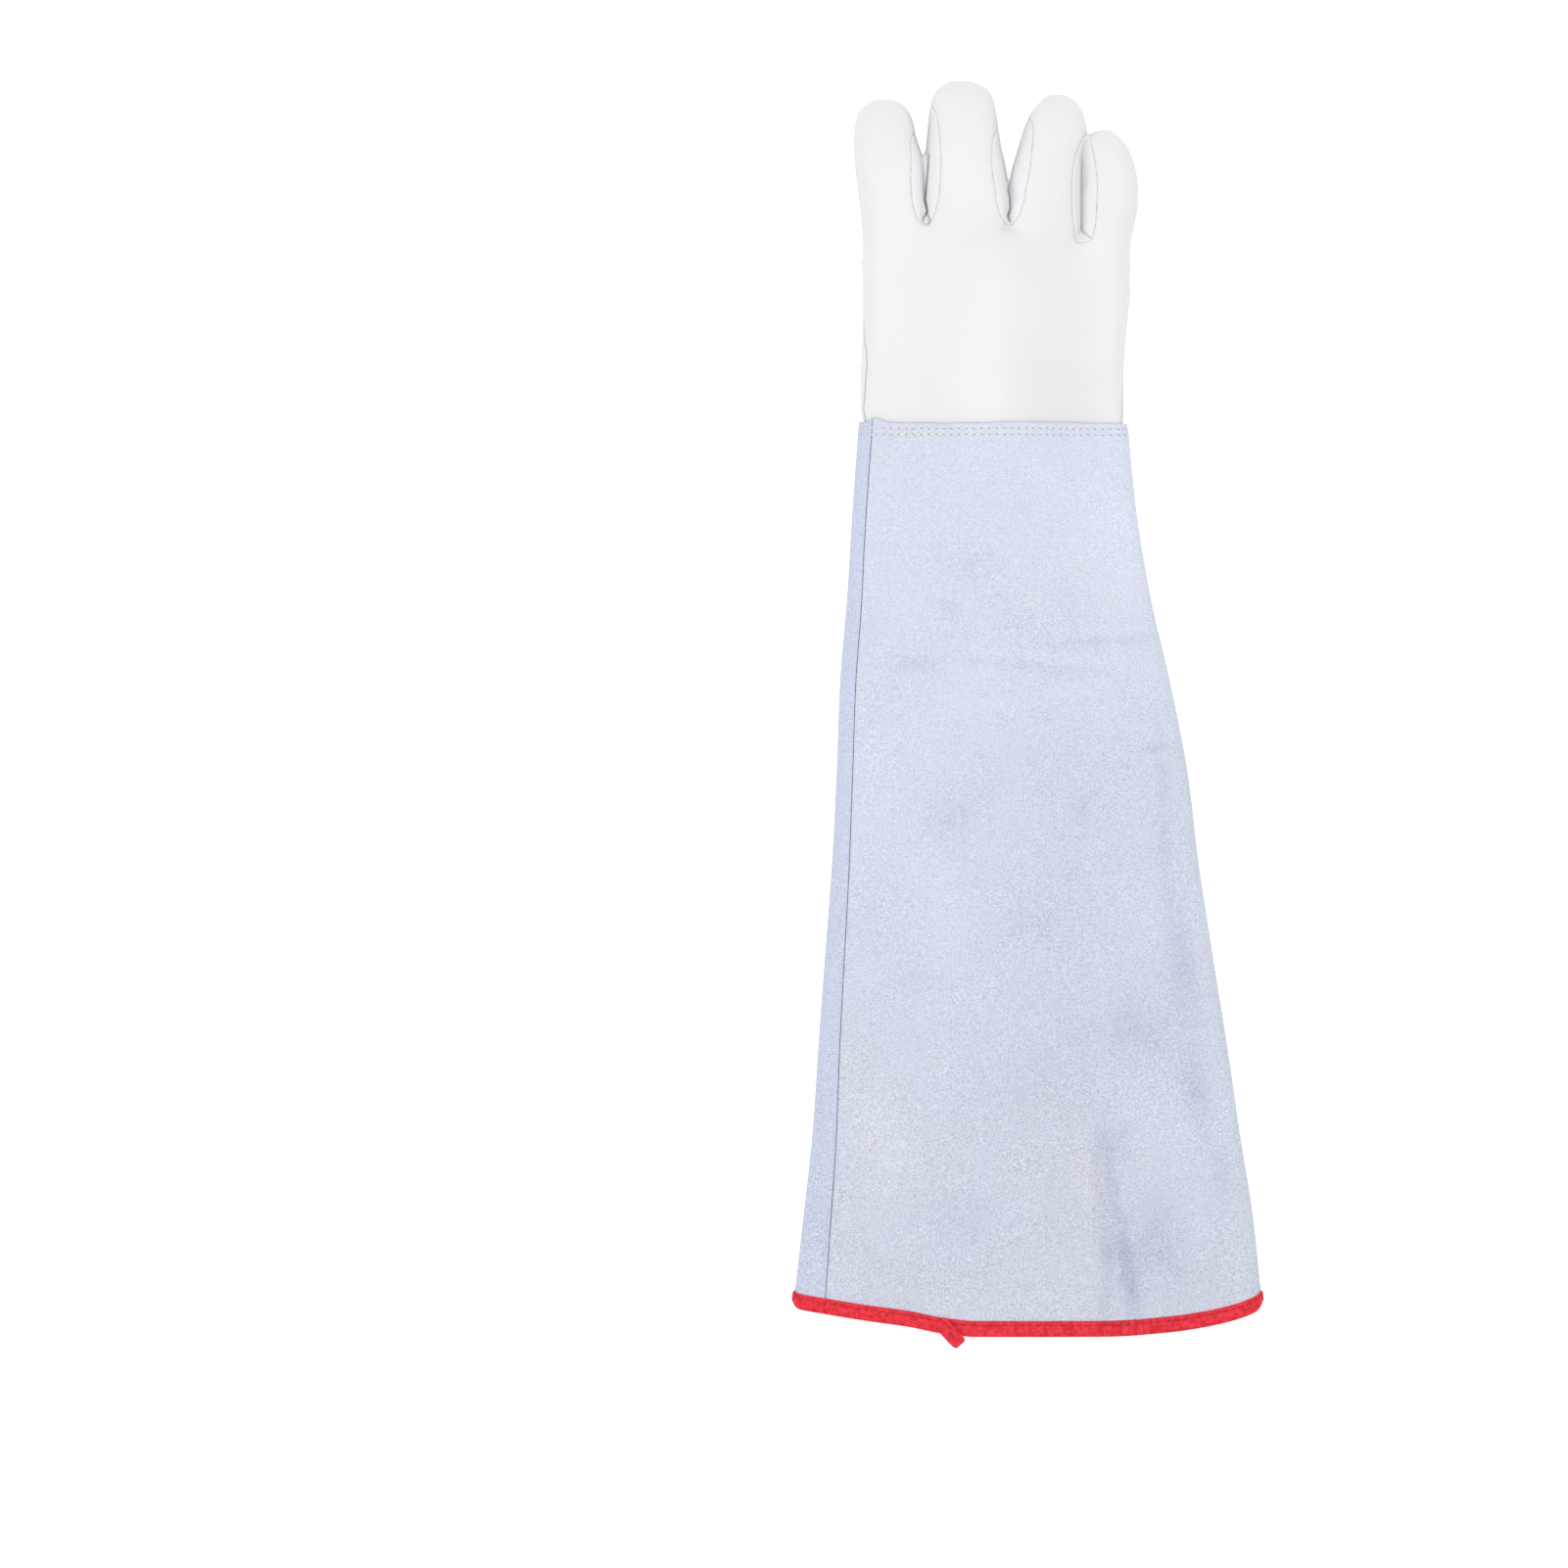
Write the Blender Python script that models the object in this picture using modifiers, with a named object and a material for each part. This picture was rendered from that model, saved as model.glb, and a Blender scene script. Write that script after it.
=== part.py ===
"""A long right-hand glove for handling very cold liquids, lying on its palm with the thumb folded under.

The hand is white grain leather: a back, a palm, three side strips between the fingers and a set-in thumb.
The gauntlet is two panels of pale blue suede, lapped over the wrist and bound with red tape at the mouth.
X runs from the index side to the little finger's side, Y towards the fingertips, and Z up from the floor.
"""

import math
from collections import namedtuple

import bmesh
import bpy
from mathutils import Vector

# Driving sizes, in metres
HAND_LENGTH = 0.1844  # tip of the middle finger to the gauntlet's upper edge
GAUNTLET_LENGTH = 0.4960  # upper edge to the lowest point of the hem
PALM_WIDTH = 0.1537
WRIST_WIDTH = 0.1455
MOUTH_WIDTH = 0.2541
HAND_SIDE = 0.0173  # the middle of the palm lies this far towards the thumb's side of the mouth's middle
WRIST_SIDE = 0.0187
PALM_HEIGHT = 0.0240
FINGER_HEIGHT = 0.0220
WRIST_HEIGHT = 0.0260
MOUTH_HEIGHT = 0.0280
PALM_FOLD = 0.0088  # radius of the round fold along each side of the palm
WRIST_FOLD = 0.0069
MOUTH_FOLD = 0.0080
LEATHER_WALL = 0.0020
SUEDE_WALL = 0.0020
SEAM_GAP = 0.0003
LAP_GAP = 0.0004  # between the hand's wrist and the gauntlet sewn round it
LAP_LENGTH = 0.0120  # how far the hand reaches under the gauntlet
HEM_RISE = 0.0150  # the hem's two ends lie this much higher than its lowest stretch
HEM_STEP = 0.0040  # the lower panel is this much shorter in the middle
SEAM_INSET = 0.0170  # the gauntlet's side seam, in from its edge at the mouth
CROTCH_SLANT = 0.113  # how steeply the line of the finger roots falls towards the little finger
FINGER_SINK = 0.0012  # how much of a finger's round underside the floor flattens
SIDE_SEAM_HEIGHT = 0.0090
SIDE_SEAM_CLIMB = 1.75  # by the wrist the thumb side's seam lies this many fold radii up, on the back

TAPE_WIDTH = 0.0084
TAPE_THICKNESS = 0.0009
TAIL_LENGTH = 0.0150
TAIL_WIDTH = 0.0090
TAIL_DROP = 0.0052  # how far the tape's loose end hangs past the hem
TAIL_SIDE = -0.0405
TAIL_TURN = math.radians(-52)

THUMB_LENGTH = 0.0780
THUMB_WIDTH = 0.0350
THUMB_THICKNESS = 0.0110
THUMB_BASE_ACROSS = 0.18  # the thumb's lower end, a share of the palm's width in from its left edge
THUMB_BASE_UP = 0.0080  # the thumb's lower end, above the gauntlet's upper edge
THUMB_TURN = math.radians(14)
THUMB_HOLE_WIDTH = 0.0220
THUMB_HOLE_LENGTH = 0.0260
THUMB_HOLE_ALONG = 0.26
THUMB_SEAT = 0.0006  # between the folded thumb and the palm that lies on it

TOP_STEPS = 12
FOLD_STEPS = 5
UNDER_STEPS = 7
FINGER_SIDES = 16
OVAL_POWER = 2.5  # 2 is an ellipse, and more is squarer

# Places that follow from the sizes
GLOVE_LENGTH = HAND_LENGTH + GAUNTLET_LENGTH + TAIL_DROP
WRIST_Y = GLOVE_LENGTH / 2 - HAND_LENGTH
HEM_Y = WRIST_Y - GAUNTLET_LENGTH
PALM_LEFT = -HAND_SIDE - PALM_WIDTH / 2
THUMB_BASE_SIDE = PALM_LEFT + THUMB_BASE_ACROSS * PALM_WIDTH
THUMB_LIFT = THUMB_THICKNESS + THUMB_SEAT

# Along: share of the gauntlet's length. Left and right: shares of the way from the wrist's edge to the
# mouth's. Height: share of the way from the wrist's height to the mouth's. Seam: share of the side seam's
# full inset.
GauntletRow = namedtuple("GauntletRow", "along left right height seam")
GAUNTLET_ROWS = (
    GauntletRow(0.000, 0.000, 0.000, 0.0, 0.39),
    GauntletRow(0.100, 0.097, 0.066, -0.6, 0.42),
    GauntletRow(0.200, 0.180, 0.175, -1.1, 0.48),
    GauntletRow(0.300, 0.290, 0.325, -1.5, 0.51),
    GauntletRow(0.400, 0.340, 0.450, -1.7, 0.52),
    GauntletRow(0.500, 0.410, 0.530, -1.7, 0.56),
    GauntletRow(0.600, 0.510, 0.630, -1.4, 0.62),
    GauntletRow(0.700, 0.610, 0.735, -1.0, 0.68),
    GauntletRow(0.800, 0.700, 0.830, -0.5, 0.76),
    GauntletRow(0.900, 0.845, 0.933, 0.3, 0.88),
    GauntletRow(1.000, 1.000, 1.000, 1.0, 1.00),
)

# Along: -1 at the hem's left end and 1 at its right end. Rise: share of the hem's full rise there.
HemRow = namedtuple("HemRow", "along rise")
HEM_ROWS = (
    HemRow(-1.00, 1.00),
    HemRow(-0.83, 0.75),
    HemRow(-0.68, 0.55),
    HemRow(-0.50, 0.34),
    HemRow(-0.37, 0.12),
    HemRow(-0.22, 0.00),
    HemRow(0.34, 0.00),
    HemRow(0.60, 0.15),
    HemRow(0.77, 0.36),
    HemRow(0.88, 0.58),
    HemRow(0.95, 0.79),
    HemRow(1.00, 1.00),
)

# The gauntlet's soft dents and ridges. Along and across: shares of its length and of its half width there.
# Long and wide: shares of the length and the mouth's width. Depth: share of the mouth's height, and
# down if it is positive.
Dent = namedtuple("Dent", "along across long wide depth")
GAUNTLET_DENTS = (
    Dent(0.93, 0.40, 0.20, 0.060, 0.10),
    Dent(0.92, 0.62, 0.16, 0.060, -0.06),
    Dent(0.58, -0.15, 0.14, 0.160, 0.05),
    Dent(0.36, 0.45, 0.07, 0.180, 0.07),
    Dent(0.22, 0.30, 0.05, 0.160, -0.05),
    Dent(0.76, -0.45, 0.12, 0.120, -0.05),
)

# Along: share of the hand's length from the gauntlet's upper edge. Left and right: shares of the palm's
# width. Floor and height: shares of the palm's height. Fold: share of the side fold's full radius.
PalmRow = namedtuple("PalmRow", "along left right floor height fold")
PALM_ROWS = (
    PalmRow(0.034, 0.024, 0.952, 0.04, 0.98, 0.64),
    PalmRow(0.110, 0.022, 0.951, 0.00, 0.98, 0.82),
    PalmRow(0.210, 0.028, 0.957, 0.00, 0.98, 1.00),
    PalmRow(0.316, 0.031, 0.968, 0.00, 1.00, 1.00),
    PalmRow(0.420, 0.028, 0.978, 0.00, 1.00, 1.00),
    PalmRow(0.500, 0.022, 0.985, 0.00, 0.94, 1.00),
    PalmRow(0.545, 0.026, 0.981, 0.04, 0.80, 1.00),
    PalmRow(0.575, 0.040, 0.966, 0.17, 0.58, 1.00),
)

# Along: share of the finger's length from its root inside the palm. Left and right: shares of the palm's
# width. Height: share of a finger's full height.
FingerRow = namedtuple("FingerRow", "along left right height")
Finger = namedtuple("Finger", "name root tip rows")
FINGERS = (
    Finger("index", 0.532, 0.945, (
        FingerRow(0.000, 0.022, 0.234, 0.70),
        FingerRow(0.160, 0.014, 0.246, 0.86),
        FingerRow(0.312, 0.009, 0.246, 0.96),
        FingerRow(0.451, 0.006, 0.246, 1.00),
        FingerRow(0.575, 0.002, 0.241, 1.00),
        FingerRow(0.729, 0.001, 0.220, 0.97),
        FingerRow(0.833, 0.006, 0.209, 0.89),
        FingerRow(0.910, 0.018, 0.195, 0.75),
        FingerRow(0.958, 0.040, 0.175, 0.57),
        FingerRow(0.990, 0.068, 0.145, 0.34),
        FingerRow(1.000, 0.090, 0.120, 0.16),
    )),
    Finger("middle", 0.517, 1.000, (
        FingerRow(0.000, 0.267, 0.527, 0.72),
        FingerRow(0.149, 0.253, 0.541, 0.88),
        FingerRow(0.298, 0.252, 0.541, 0.97),
        FingerRow(0.429, 0.252, 0.533, 1.00),
        FingerRow(0.565, 0.254, 0.521, 1.00),
        FingerRow(0.714, 0.260, 0.509, 0.97),
        FingerRow(0.821, 0.266, 0.500, 0.89),
        FingerRow(0.905, 0.280, 0.487, 0.75),
        FingerRow(0.952, 0.298, 0.468, 0.58),
        FingerRow(0.985, 0.325, 0.434, 0.37),
        FingerRow(1.000, 0.355, 0.399, 0.16),
    )),
    Finger("ring", 0.517, 0.960, (
        FingerRow(0.000, 0.560, 0.786, 0.72),
        FingerRow(0.143, 0.549, 0.799, 0.88),
        FingerRow(0.325, 0.549, 0.801, 0.97),
        FingerRow(0.468, 0.558, 0.802, 1.00),
        FingerRow(0.584, 0.570, 0.806, 0.99),
        FingerRow(0.733, 0.592, 0.821, 0.95),
        FingerRow(0.857, 0.617, 0.811, 0.84),
        FingerRow(0.929, 0.645, 0.794, 0.67),
        FingerRow(0.974, 0.669, 0.766, 0.45),
        FingerRow(1.000, 0.698, 0.735, 0.18),
    )),
    Finger("little", 0.483, 0.856, (
        FingerRow(0.000, 0.820, 0.974, 0.70),
        FingerRow(0.169, 0.808, 0.990, 0.84),
        FingerRow(0.362, 0.808, 1.001, 0.93),
        FingerRow(0.554, 0.810, 1.001, 0.95),
        FingerRow(0.708, 0.814, 0.991, 0.92),
        FingerRow(0.823, 0.820, 0.974, 0.83),
        FingerRow(0.892, 0.831, 0.957, 0.71),
        FingerRow(0.946, 0.848, 0.936, 0.54),
        FingerRow(0.981, 0.866, 0.914, 0.35),
        FingerRow(1.000, 0.880, 0.900, 0.16),
    )),
)

# The side strip between two fingers: where its lower point lies (a share of the hand's length), how far its
# seams lie in from the two fingers' facing edges (shares of the palm's width), and where each seam ends at the
# top (shares of the hand's length).
Strip = namedtuple("Strip", "name fingers point left_inset right_inset left_top right_top")
STRIPS = (
    Strip("index_middle_strip", (0, 1), 0.566, 0.046, 0.052, 0.850, 0.932),
    Strip("middle_ring_strip", (1, 2), 0.562, 0.045, 0.058, 0.860, 0.895),
    Strip("ring_little_strip", (2, 3), 0.528, 0.034, 0.050, 0.850, 0.812),
)
# Along: share of a strip's length. Inset: share of its full inset; the last row is just clear of the finger.
SeamRow = namedtuple("SeamRow", "along inset")
SEAM_ROWS = (
    SeamRow(0.00, 0.12),
    SeamRow(0.06, 0.45),
    SeamRow(0.15, 0.75),
    SeamRow(0.30, 0.96),
    SeamRow(0.50, 1.00),
    SeamRow(0.75, 0.76),
    SeamRow(0.92, 0.42),
    SeamRow(1.00, -0.12),
)

# Along: share of the thumb's length. Width and height: shares of its full width and thickness.
ThumbRow = namedtuple("ThumbRow", "along width height")
THUMB_ROWS = (
    ThumbRow(0.000, 0.30, 0.42),
    ThumbRow(0.030, 0.64, 0.72),
    ThumbRow(0.090, 0.90, 0.94),
    ThumbRow(0.180, 1.00, 1.00),
    ThumbRow(0.400, 0.98, 1.00),
    ThumbRow(0.660, 0.92, 1.00),
    ThumbRow(0.820, 0.82, 0.96),
    ThumbRow(0.920, 0.64, 0.84),
    ThumbRow(0.975, 0.42, 0.62),
    ThumbRow(1.000, 0.16, 0.28),
)

WHITE_LEATHER = ((0.86, 0.86, 0.85), 0.55)
BLUE_SUEDE = ((0.62, 0.68, 0.83), 0.90)
RED_TAPE = ((0.80, 0.03, 0.06), 0.80)


def smooth_step(t):
    t = min(max(t, 0.0), 1.0)
    return t * t * (3 - 2 * t)


def row_at(rows, along):
    """The table's row at any place along it, read in straight lines between the rows it has."""
    if along <= rows[0].along:
        return rows[0]
    for low, high in zip(rows, rows[1:]):
        if along <= high.along:
            share = (along - low.along) / (high.along - low.along)
            return type(low)(*(a + share * (b - a) for a, b in zip(low, high)))
    return rows[-1]


def thumb_lift(x, y):
    """How much the folded thumb raises the glove there: fully over the thumb, and fading out all round."""
    full_side = THUMB_BASE_SIDE + THUMB_WIDTH * 1.35
    fade_side = THUMB_WIDTH * 1.80
    across = 1 - smooth_step((x - full_side) / fade_side)
    low_fade = HAND_LENGTH * 0.75
    rising = smooth_step((y - WRIST_Y + low_fade) / low_fade)
    full_up = WRIST_Y + THUMB_BASE_UP + THUMB_LENGTH * 1.08
    falling = 1 - smooth_step((y - full_up) / (WRIST_Y + HAND_LENGTH * 1.12 - full_up))
    return THUMB_LIFT * across * rising * falling


def lifted(x, y, z):
    return Vector((x, y, z + thumb_lift(x, y)))


def flat_tube(left, right, floor, fold, height, seam, inset):
    """Two chains of (x, z) round a flat tube: over its back and right fold, and under it to its left.

    The underside is flat, each side is a half-round fold, and the top rises in a smooth crown. The chains
    meet at two seams, each that far in from an edge: one on top at the left, one underneath at the right.
    A positive inset gives the same outline that far inside, and a negative one that far outside.
    """
    first, last = left + fold, right - fold
    crown = max(height - floor - 2 * fold, 0.0)

    def top(x):
        share = min(max((x - first) / (last - first), 0.0), 1.0)
        slope = crown * math.pi / (last - first) * math.sin(2 * math.pi * share)
        z = floor + 2 * fold + crown * math.sin(math.pi * share) ** 2
        away = inset / math.hypot(slope, 1.0)
        return x + slope * away, z - away

    def arc(middle, start, steps):
        angles = (math.radians(start - 180 * k / steps) for k in range(1, steps))
        radius = fold - inset
        return [(middle + radius * math.cos(a), floor + fold + radius * math.sin(a)) for a in angles]

    def under(start, end, steps):
        return [(start + (end - start) * k / steps, floor + inset) for k in range(steps + 1)]

    seam = max(seam, fold + 2 * SEAM_GAP)
    top_start, under_end = left + seam, right - seam
    back = [top(top_start + (last - top_start) * k / TOP_STEPS) for k in range(TOP_STEPS + 1)]
    back += arc(last, 90, FOLD_STEPS)
    back += under(last, under_end, 1)
    front = under(under_end - SEAM_GAP, first, UNDER_STEPS)
    front += arc(first, -90, FOLD_STEPS)
    front += [top(first), top(top_start - SEAM_GAP)]
    return back, front


def gauntlet_measures(along):
    """Left edge, right edge, floor, fold radius, height and seam inset of the gauntlet there."""
    row = row_at(GAUNTLET_ROWS, along)
    wrist_left, wrist_right = -WRIST_SIDE - WRIST_WIDTH / 2, -WRIST_SIDE + WRIST_WIDTH / 2
    left = wrist_left + row.left * (-MOUTH_WIDTH / 2 - wrist_left)
    right = wrist_right + row.right * (MOUTH_WIDTH / 2 - wrist_right)
    fold = WRIST_FOLD + along * (MOUTH_FOLD - WRIST_FOLD)
    height = WRIST_HEIGHT + row.height * (MOUTH_HEIGHT - WRIST_HEIGHT)
    floor = (SEAM_GAP + TAPE_THICKNESS) * smooth_step((along - 0.94) / 0.04)
    return left, right, floor, fold, height, row.seam * SEAM_INSET


def gauntlet_dent(along, across):
    """How far the top is pushed down there by the soft dents."""
    total = 0.0
    for dent in GAUNTLET_DENTS:
        a = (along - dent.along) / dent.long
        b = (across - dent.across) / (2 * dent.wide)
        total += dent.depth * math.exp(-a * a - b * b)
    return total * MOUTH_HEIGHT * smooth_step(along / 0.1)


def hem_lift(across, underneath):
    """How much higher than its lowest point the hem lies there. Across is -1 to 1 from edge to edge."""
    step = HEM_STEP * (1 - min(abs(across), 1.0) ** 2) if underneath else 0.0
    return HEM_RISE * row_at(HEM_ROWS, across).rise + step


def gauntlet_chains(along, inset, lower=0.0):
    """The gauntlet's two chains of points there, in place. Lower moves them that much towards the mouth."""
    left, right, floor, fold, height, seam = gauntlet_measures(along)
    placed = []
    for chain in flat_tube(left, right, floor, fold, height, seam, inset):
        points = []
        for x, z in chain:
            across = (2 * x - left - right) / (right - left)
            underneath = z < fold
            y = WRIST_Y - along * (GAUNTLET_LENGTH - hem_lift(across, underneath)) - lower
            if z > fold:
                z -= gauntlet_dent(along, across) * smooth_step((1 - abs(across)) / 0.15)
            points.append(lifted(x, y, z))
        placed.append(points)
    return placed


def new_object(name, mesh, collection, material=None):
    made = bpy.data.objects.new(name, mesh)
    collection.objects.link(made)
    if material:
        mesh.materials.append(material)
    return made


def grid_object(name, rows, collection, material=None, closed=False, ends=False):
    """A mesh through rows of points. Closed joins each row's ends, and ends caps the first and last rows."""
    mesh = bpy.data.meshes.new(name)
    shape = bmesh.new()
    grid = [[shape.verts.new(point) for point in row] for row in rows]
    count = len(grid[0])
    for low, high in zip(grid, grid[1:]):
        for k in range(count if closed else count - 1):
            following = (k + 1) % count
            shape.faces.new((low[k], low[following], high[following], high[k]))
    if ends:
        shape.faces.new(grid[0])
        shape.faces.new(grid[-1])
    bmesh.ops.recalc_face_normals(shape, faces=shape.faces)
    if ends:
        bmesh.ops.triangulate(shape, faces=shape.faces)
    shape.to_mesh(mesh)
    shape.free()
    return new_object(name, mesh, collection, material)


def prism_object(name, outline, low, high, collection, material=None):
    """A flat outline of (x, y) points made solid between two surfaces, each given as a height at (x, y)."""
    rings = [[Vector((x, y, level(x, y))) for x, y in outline] for level in (low, high)]
    return grid_object(name, rings, collection, material, closed=True, ends=True)


def boolean(target, operation, other):
    modifier = target.modifiers.new(f"{operation.lower()}_{other.name}", "BOOLEAN")
    modifier.operation = operation
    modifier.solver = "EXACT"
    modifier.object = other


def evaluated_copy(source, name, collection, material=None):
    """A plain mesh of an object as its modifiers leave it."""
    graph = bpy.context.evaluated_depsgraph_get()
    graph.update()
    mesh = bpy.data.meshes.new_from_object(source.evaluated_get(graph))
    mesh.name = name
    mesh.materials.clear()
    return new_object(name, mesh, collection, material)


def helper(made):
    made.hide_render = True
    made.display_type = "WIRE"
    return made


def make_material(name, finish):
    colour, roughness = finish
    made = bpy.data.materials.new(name)
    made.use_nodes = True
    shader = made.node_tree.nodes["Principled BSDF"]
    shader.inputs["Base Color"].default_value = (*colour, 1.0)
    shader.inputs["Roughness"].default_value = roughness
    shader.inputs["Metallic"].default_value = 0.0
    return made


def palm_ring(row, inset):
    """The palm's outline at one row of its table, in place, its line of finger roots slanting across."""
    left = PALM_LEFT + row.left * PALM_WIDTH
    right = PALM_LEFT + row.right * PALM_WIDTH
    floor, height = row.floor * PALM_HEIGHT, row.height * PALM_HEIGHT
    fold = min(row.fold * PALM_FOLD, (height - floor) * 0.49)
    back, front = flat_tube(left, right, floor, fold, height, fold, inset)
    level = WRIST_Y + row.along * HAND_LENGTH
    slant = CROTCH_SLANT * smooth_step((row.along - 0.25) / 0.30)
    middle = PALM_LEFT + PALM_WIDTH / 2
    points = []
    for x, z in back + front:
        y = level - slant * (x - middle)
        points.append(lifted(x, y, z))
    return points


def wrist_rings(inset, reach):
    """The hand's outline at the gauntlet's upper edge and at the end of its lap, inside the gauntlet."""
    inside = SUEDE_WALL + LAP_GAP + inset
    rings = []
    for depth in (LAP_LENGTH + reach, 0.0):
        back, front = gauntlet_chains(depth / GAUNTLET_LENGTH, inside)
        rings.append(back + front)
    return rings


def make_palm_form(name, inset, collection):
    """The palm's tube from the lap to the finger roots, as a solid. The hollow reaches past its open end."""
    rows = [row._replace(along=row.along - inset / HAND_LENGTH) for row in PALM_ROWS[-2:]]
    rings = wrist_rings(inset, 2 * inset)
    rings += [palm_ring(row, inset) for row in (*PALM_ROWS[:-2], *rows)]
    return helper(grid_object(name, rings, collection, closed=True, ends=True))


def oval(half_width, half_height, sides):
    power = 2 / OVAL_POWER
    points = []
    for k in range(sides):
        angle = 2 * math.pi * (k + 0.5) / sides
        c, s = math.cos(angle), math.sin(angle)
        x = math.copysign(abs(c) ** power, c) * half_width
        z = math.copysign(abs(s) ** power, s) * half_height
        points.append((x, z))
    return points


def make_finger_form(finger, inset, collection):
    """One finger as a solid, pressed flat where it lies on the floor."""
    root = WRIST_Y + finger.root * HAND_LENGTH
    length = (finger.tip - finger.root) * HAND_LENGTH - inset
    middle_z = FINGER_HEIGHT / 2 - FINGER_SINK
    rings = []
    for row in finger.rows:
        half_width = (row.right - row.left) * PALM_WIDTH / 2 - inset
        half_height = row.height * FINGER_HEIGHT / 2 - inset
        if min(half_width, half_height) < 0.6 * inset:
            continue
        middle = PALM_LEFT + (row.left + row.right) * PALM_WIDTH / 2
        y = root + row.along * length
        ring = []
        for x, z in oval(half_width, half_height, FINGER_SIDES):
            ring.append(lifted(middle + x, y, max(middle_z + z, inset)))
        rings.append(ring)
    name = f"{finger.name}_{'hollow' if inset else 'form'}"
    return helper(grid_object(name, rings, collection, closed=True, ends=True))


def finger_edges(finger, y):
    """The x of a finger's left and right edge at that y."""
    share = (y - WRIST_Y) / HAND_LENGTH
    row = row_at(finger.rows, (share - finger.root) / (finger.tip - finger.root))
    return PALM_LEFT + row.left * PALM_WIDTH, PALM_LEFT + row.right * PALM_WIDTH


def strip_outline(strip, spread):
    """The plan outline between a strip's two seams, grown outwards by spread."""
    left_finger, right_finger = (FINGERS[k] for k in strip.fingers)
    point = WRIST_Y + strip.point * HAND_LENGTH
    left_top = WRIST_Y + strip.left_top * HAND_LENGTH
    right_top = WRIST_Y + strip.right_top * HAND_LENGTH
    left_chain, right_chain = [], []
    for row in SEAM_ROWS:
        y = point + row.along * (left_top - point)
        inset = row.inset * strip.left_inset * PALM_WIDTH
        left_chain.append((finger_edges(left_finger, y)[1] - inset - spread, y))
        y = point + row.along * (right_top - point)
        inset = row.inset * strip.right_inset * PALM_WIDTH
        right_chain.append((finger_edges(right_finger, y)[0] + inset + spread, y))
    bottom = ((left_chain[0][0] + right_chain[0][0]) / 2, point - spread - 0.02 * HAND_LENGTH)
    return [bottom, *right_chain, *reversed(left_chain)]


def side_seam_level(x, y):
    """The height of the seam that joins the hand's back to its palm."""
    along = (y - WRIST_Y) / HAND_LENGTH
    climb = 1 - smooth_step((along - 0.15) / 0.20)
    thumb_side = smooth_step((-HAND_SIDE - x - PALM_WIDTH * 0.15) / (PALM_WIDTH * 0.20))
    rise = row_at(PALM_ROWS, along).fold * PALM_FOLD * SIDE_SEAM_CLIMB - SIDE_SEAM_HEIGHT
    return SIDE_SEAM_HEIGHT + rise * climb * thumb_side + thumb_lift(x, y)


def half_space(name, above, collection):
    """A block over or under the side seam that reaches half the gap past it."""
    low_x, high_x = PALM_LEFT - 0.02, PALM_LEFT + PALM_WIDTH + 0.02
    low_y, high_y = WRIST_Y - LAP_LENGTH - 0.02, WRIST_Y + HAND_LENGTH + 0.02
    steps = 10
    gap = -SEAM_GAP / 2 if above else SEAM_GAP / 2
    far = 0.09 if above else -0.03
    shape = bmesh.new()
    bmesh.ops.create_grid(shape, x_segments=steps, y_segments=steps, size=0.5)
    for vert in shape.verts:
        x = low_x + (vert.co.x + 0.5) * (high_x - low_x)
        y = low_y + (vert.co.y + 0.5) * (high_y - low_y)
        vert.co = Vector((x, y, side_seam_level(x, y) + gap))
    sheet = list(shape.faces)
    grown = bmesh.ops.extrude_face_region(shape, geom=sheet, use_keep_orig=True)
    for vert in (item for item in grown["geom"] if isinstance(item, bmesh.types.BMVert)):
        vert.co.z = far
    bmesh.ops.recalc_face_normals(shape, faces=shape.faces)
    bmesh.ops.triangulate(shape, faces=shape.faces)
    mesh = bpy.data.meshes.new(name)
    shape.to_mesh(mesh)
    shape.free()
    return helper(new_object(name, mesh, collection))


def thumb_point(along, across):
    """The plan place of a point on the folded thumb."""
    base_y = WRIST_Y + THUMB_BASE_UP
    distance = along * THUMB_LENGTH
    x = THUMB_BASE_SIDE + distance * math.sin(THUMB_TURN) + across * math.cos(THUMB_TURN)
    y = base_y + distance * math.cos(THUMB_TURN) - across * math.sin(THUMB_TURN)
    return x, y


def make_thumb_form(name, inset, collection):
    """The flattened pouch of the thumb as a solid, pressed flat between the floor and the palm."""
    rings = []
    for row in THUMB_ROWS:
        half_width = row.width * THUMB_WIDTH / 2 - inset
        half_height = row.height * THUMB_THICKNESS * 0.6 - inset
        if min(half_width, half_height) < 0.3 * inset:
            continue
        along = row.along + (0.5 - row.along) * 2 * inset / THUMB_LENGTH
        ring = []
        for across, z in oval(half_width, half_height, FINGER_SIDES):
            x, y = thumb_point(along, across)
            z = min(max(THUMB_THICKNESS / 2 + z, inset), THUMB_THICKNESS - inset)
            ring.append(Vector((x, y, z)))
        rings.append(ring)
    return helper(grid_object(name, rings, collection, closed=True, ends=True))


def make_thumb_hole(collection):
    """The cutter for the hole where the thumb opens into the palm."""
    outline = []
    for k in range(FINGER_SIDES):
        angle = 2 * math.pi * k / FINGER_SIDES
        across = THUMB_HOLE_WIDTH / 2 * math.cos(angle)
        along = THUMB_HOLE_ALONG + THUMB_HOLE_LENGTH / 2 * math.sin(angle) / THUMB_LENGTH
        outline.append(thumb_point(along, across))
    low, high = THUMB_THICKNESS / 2, THUMB_LIFT + PALM_HEIGHT / 2
    return helper(prism_object("thumb_hole", outline, lambda x, y: low, lambda x, y: high, collection))


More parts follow.
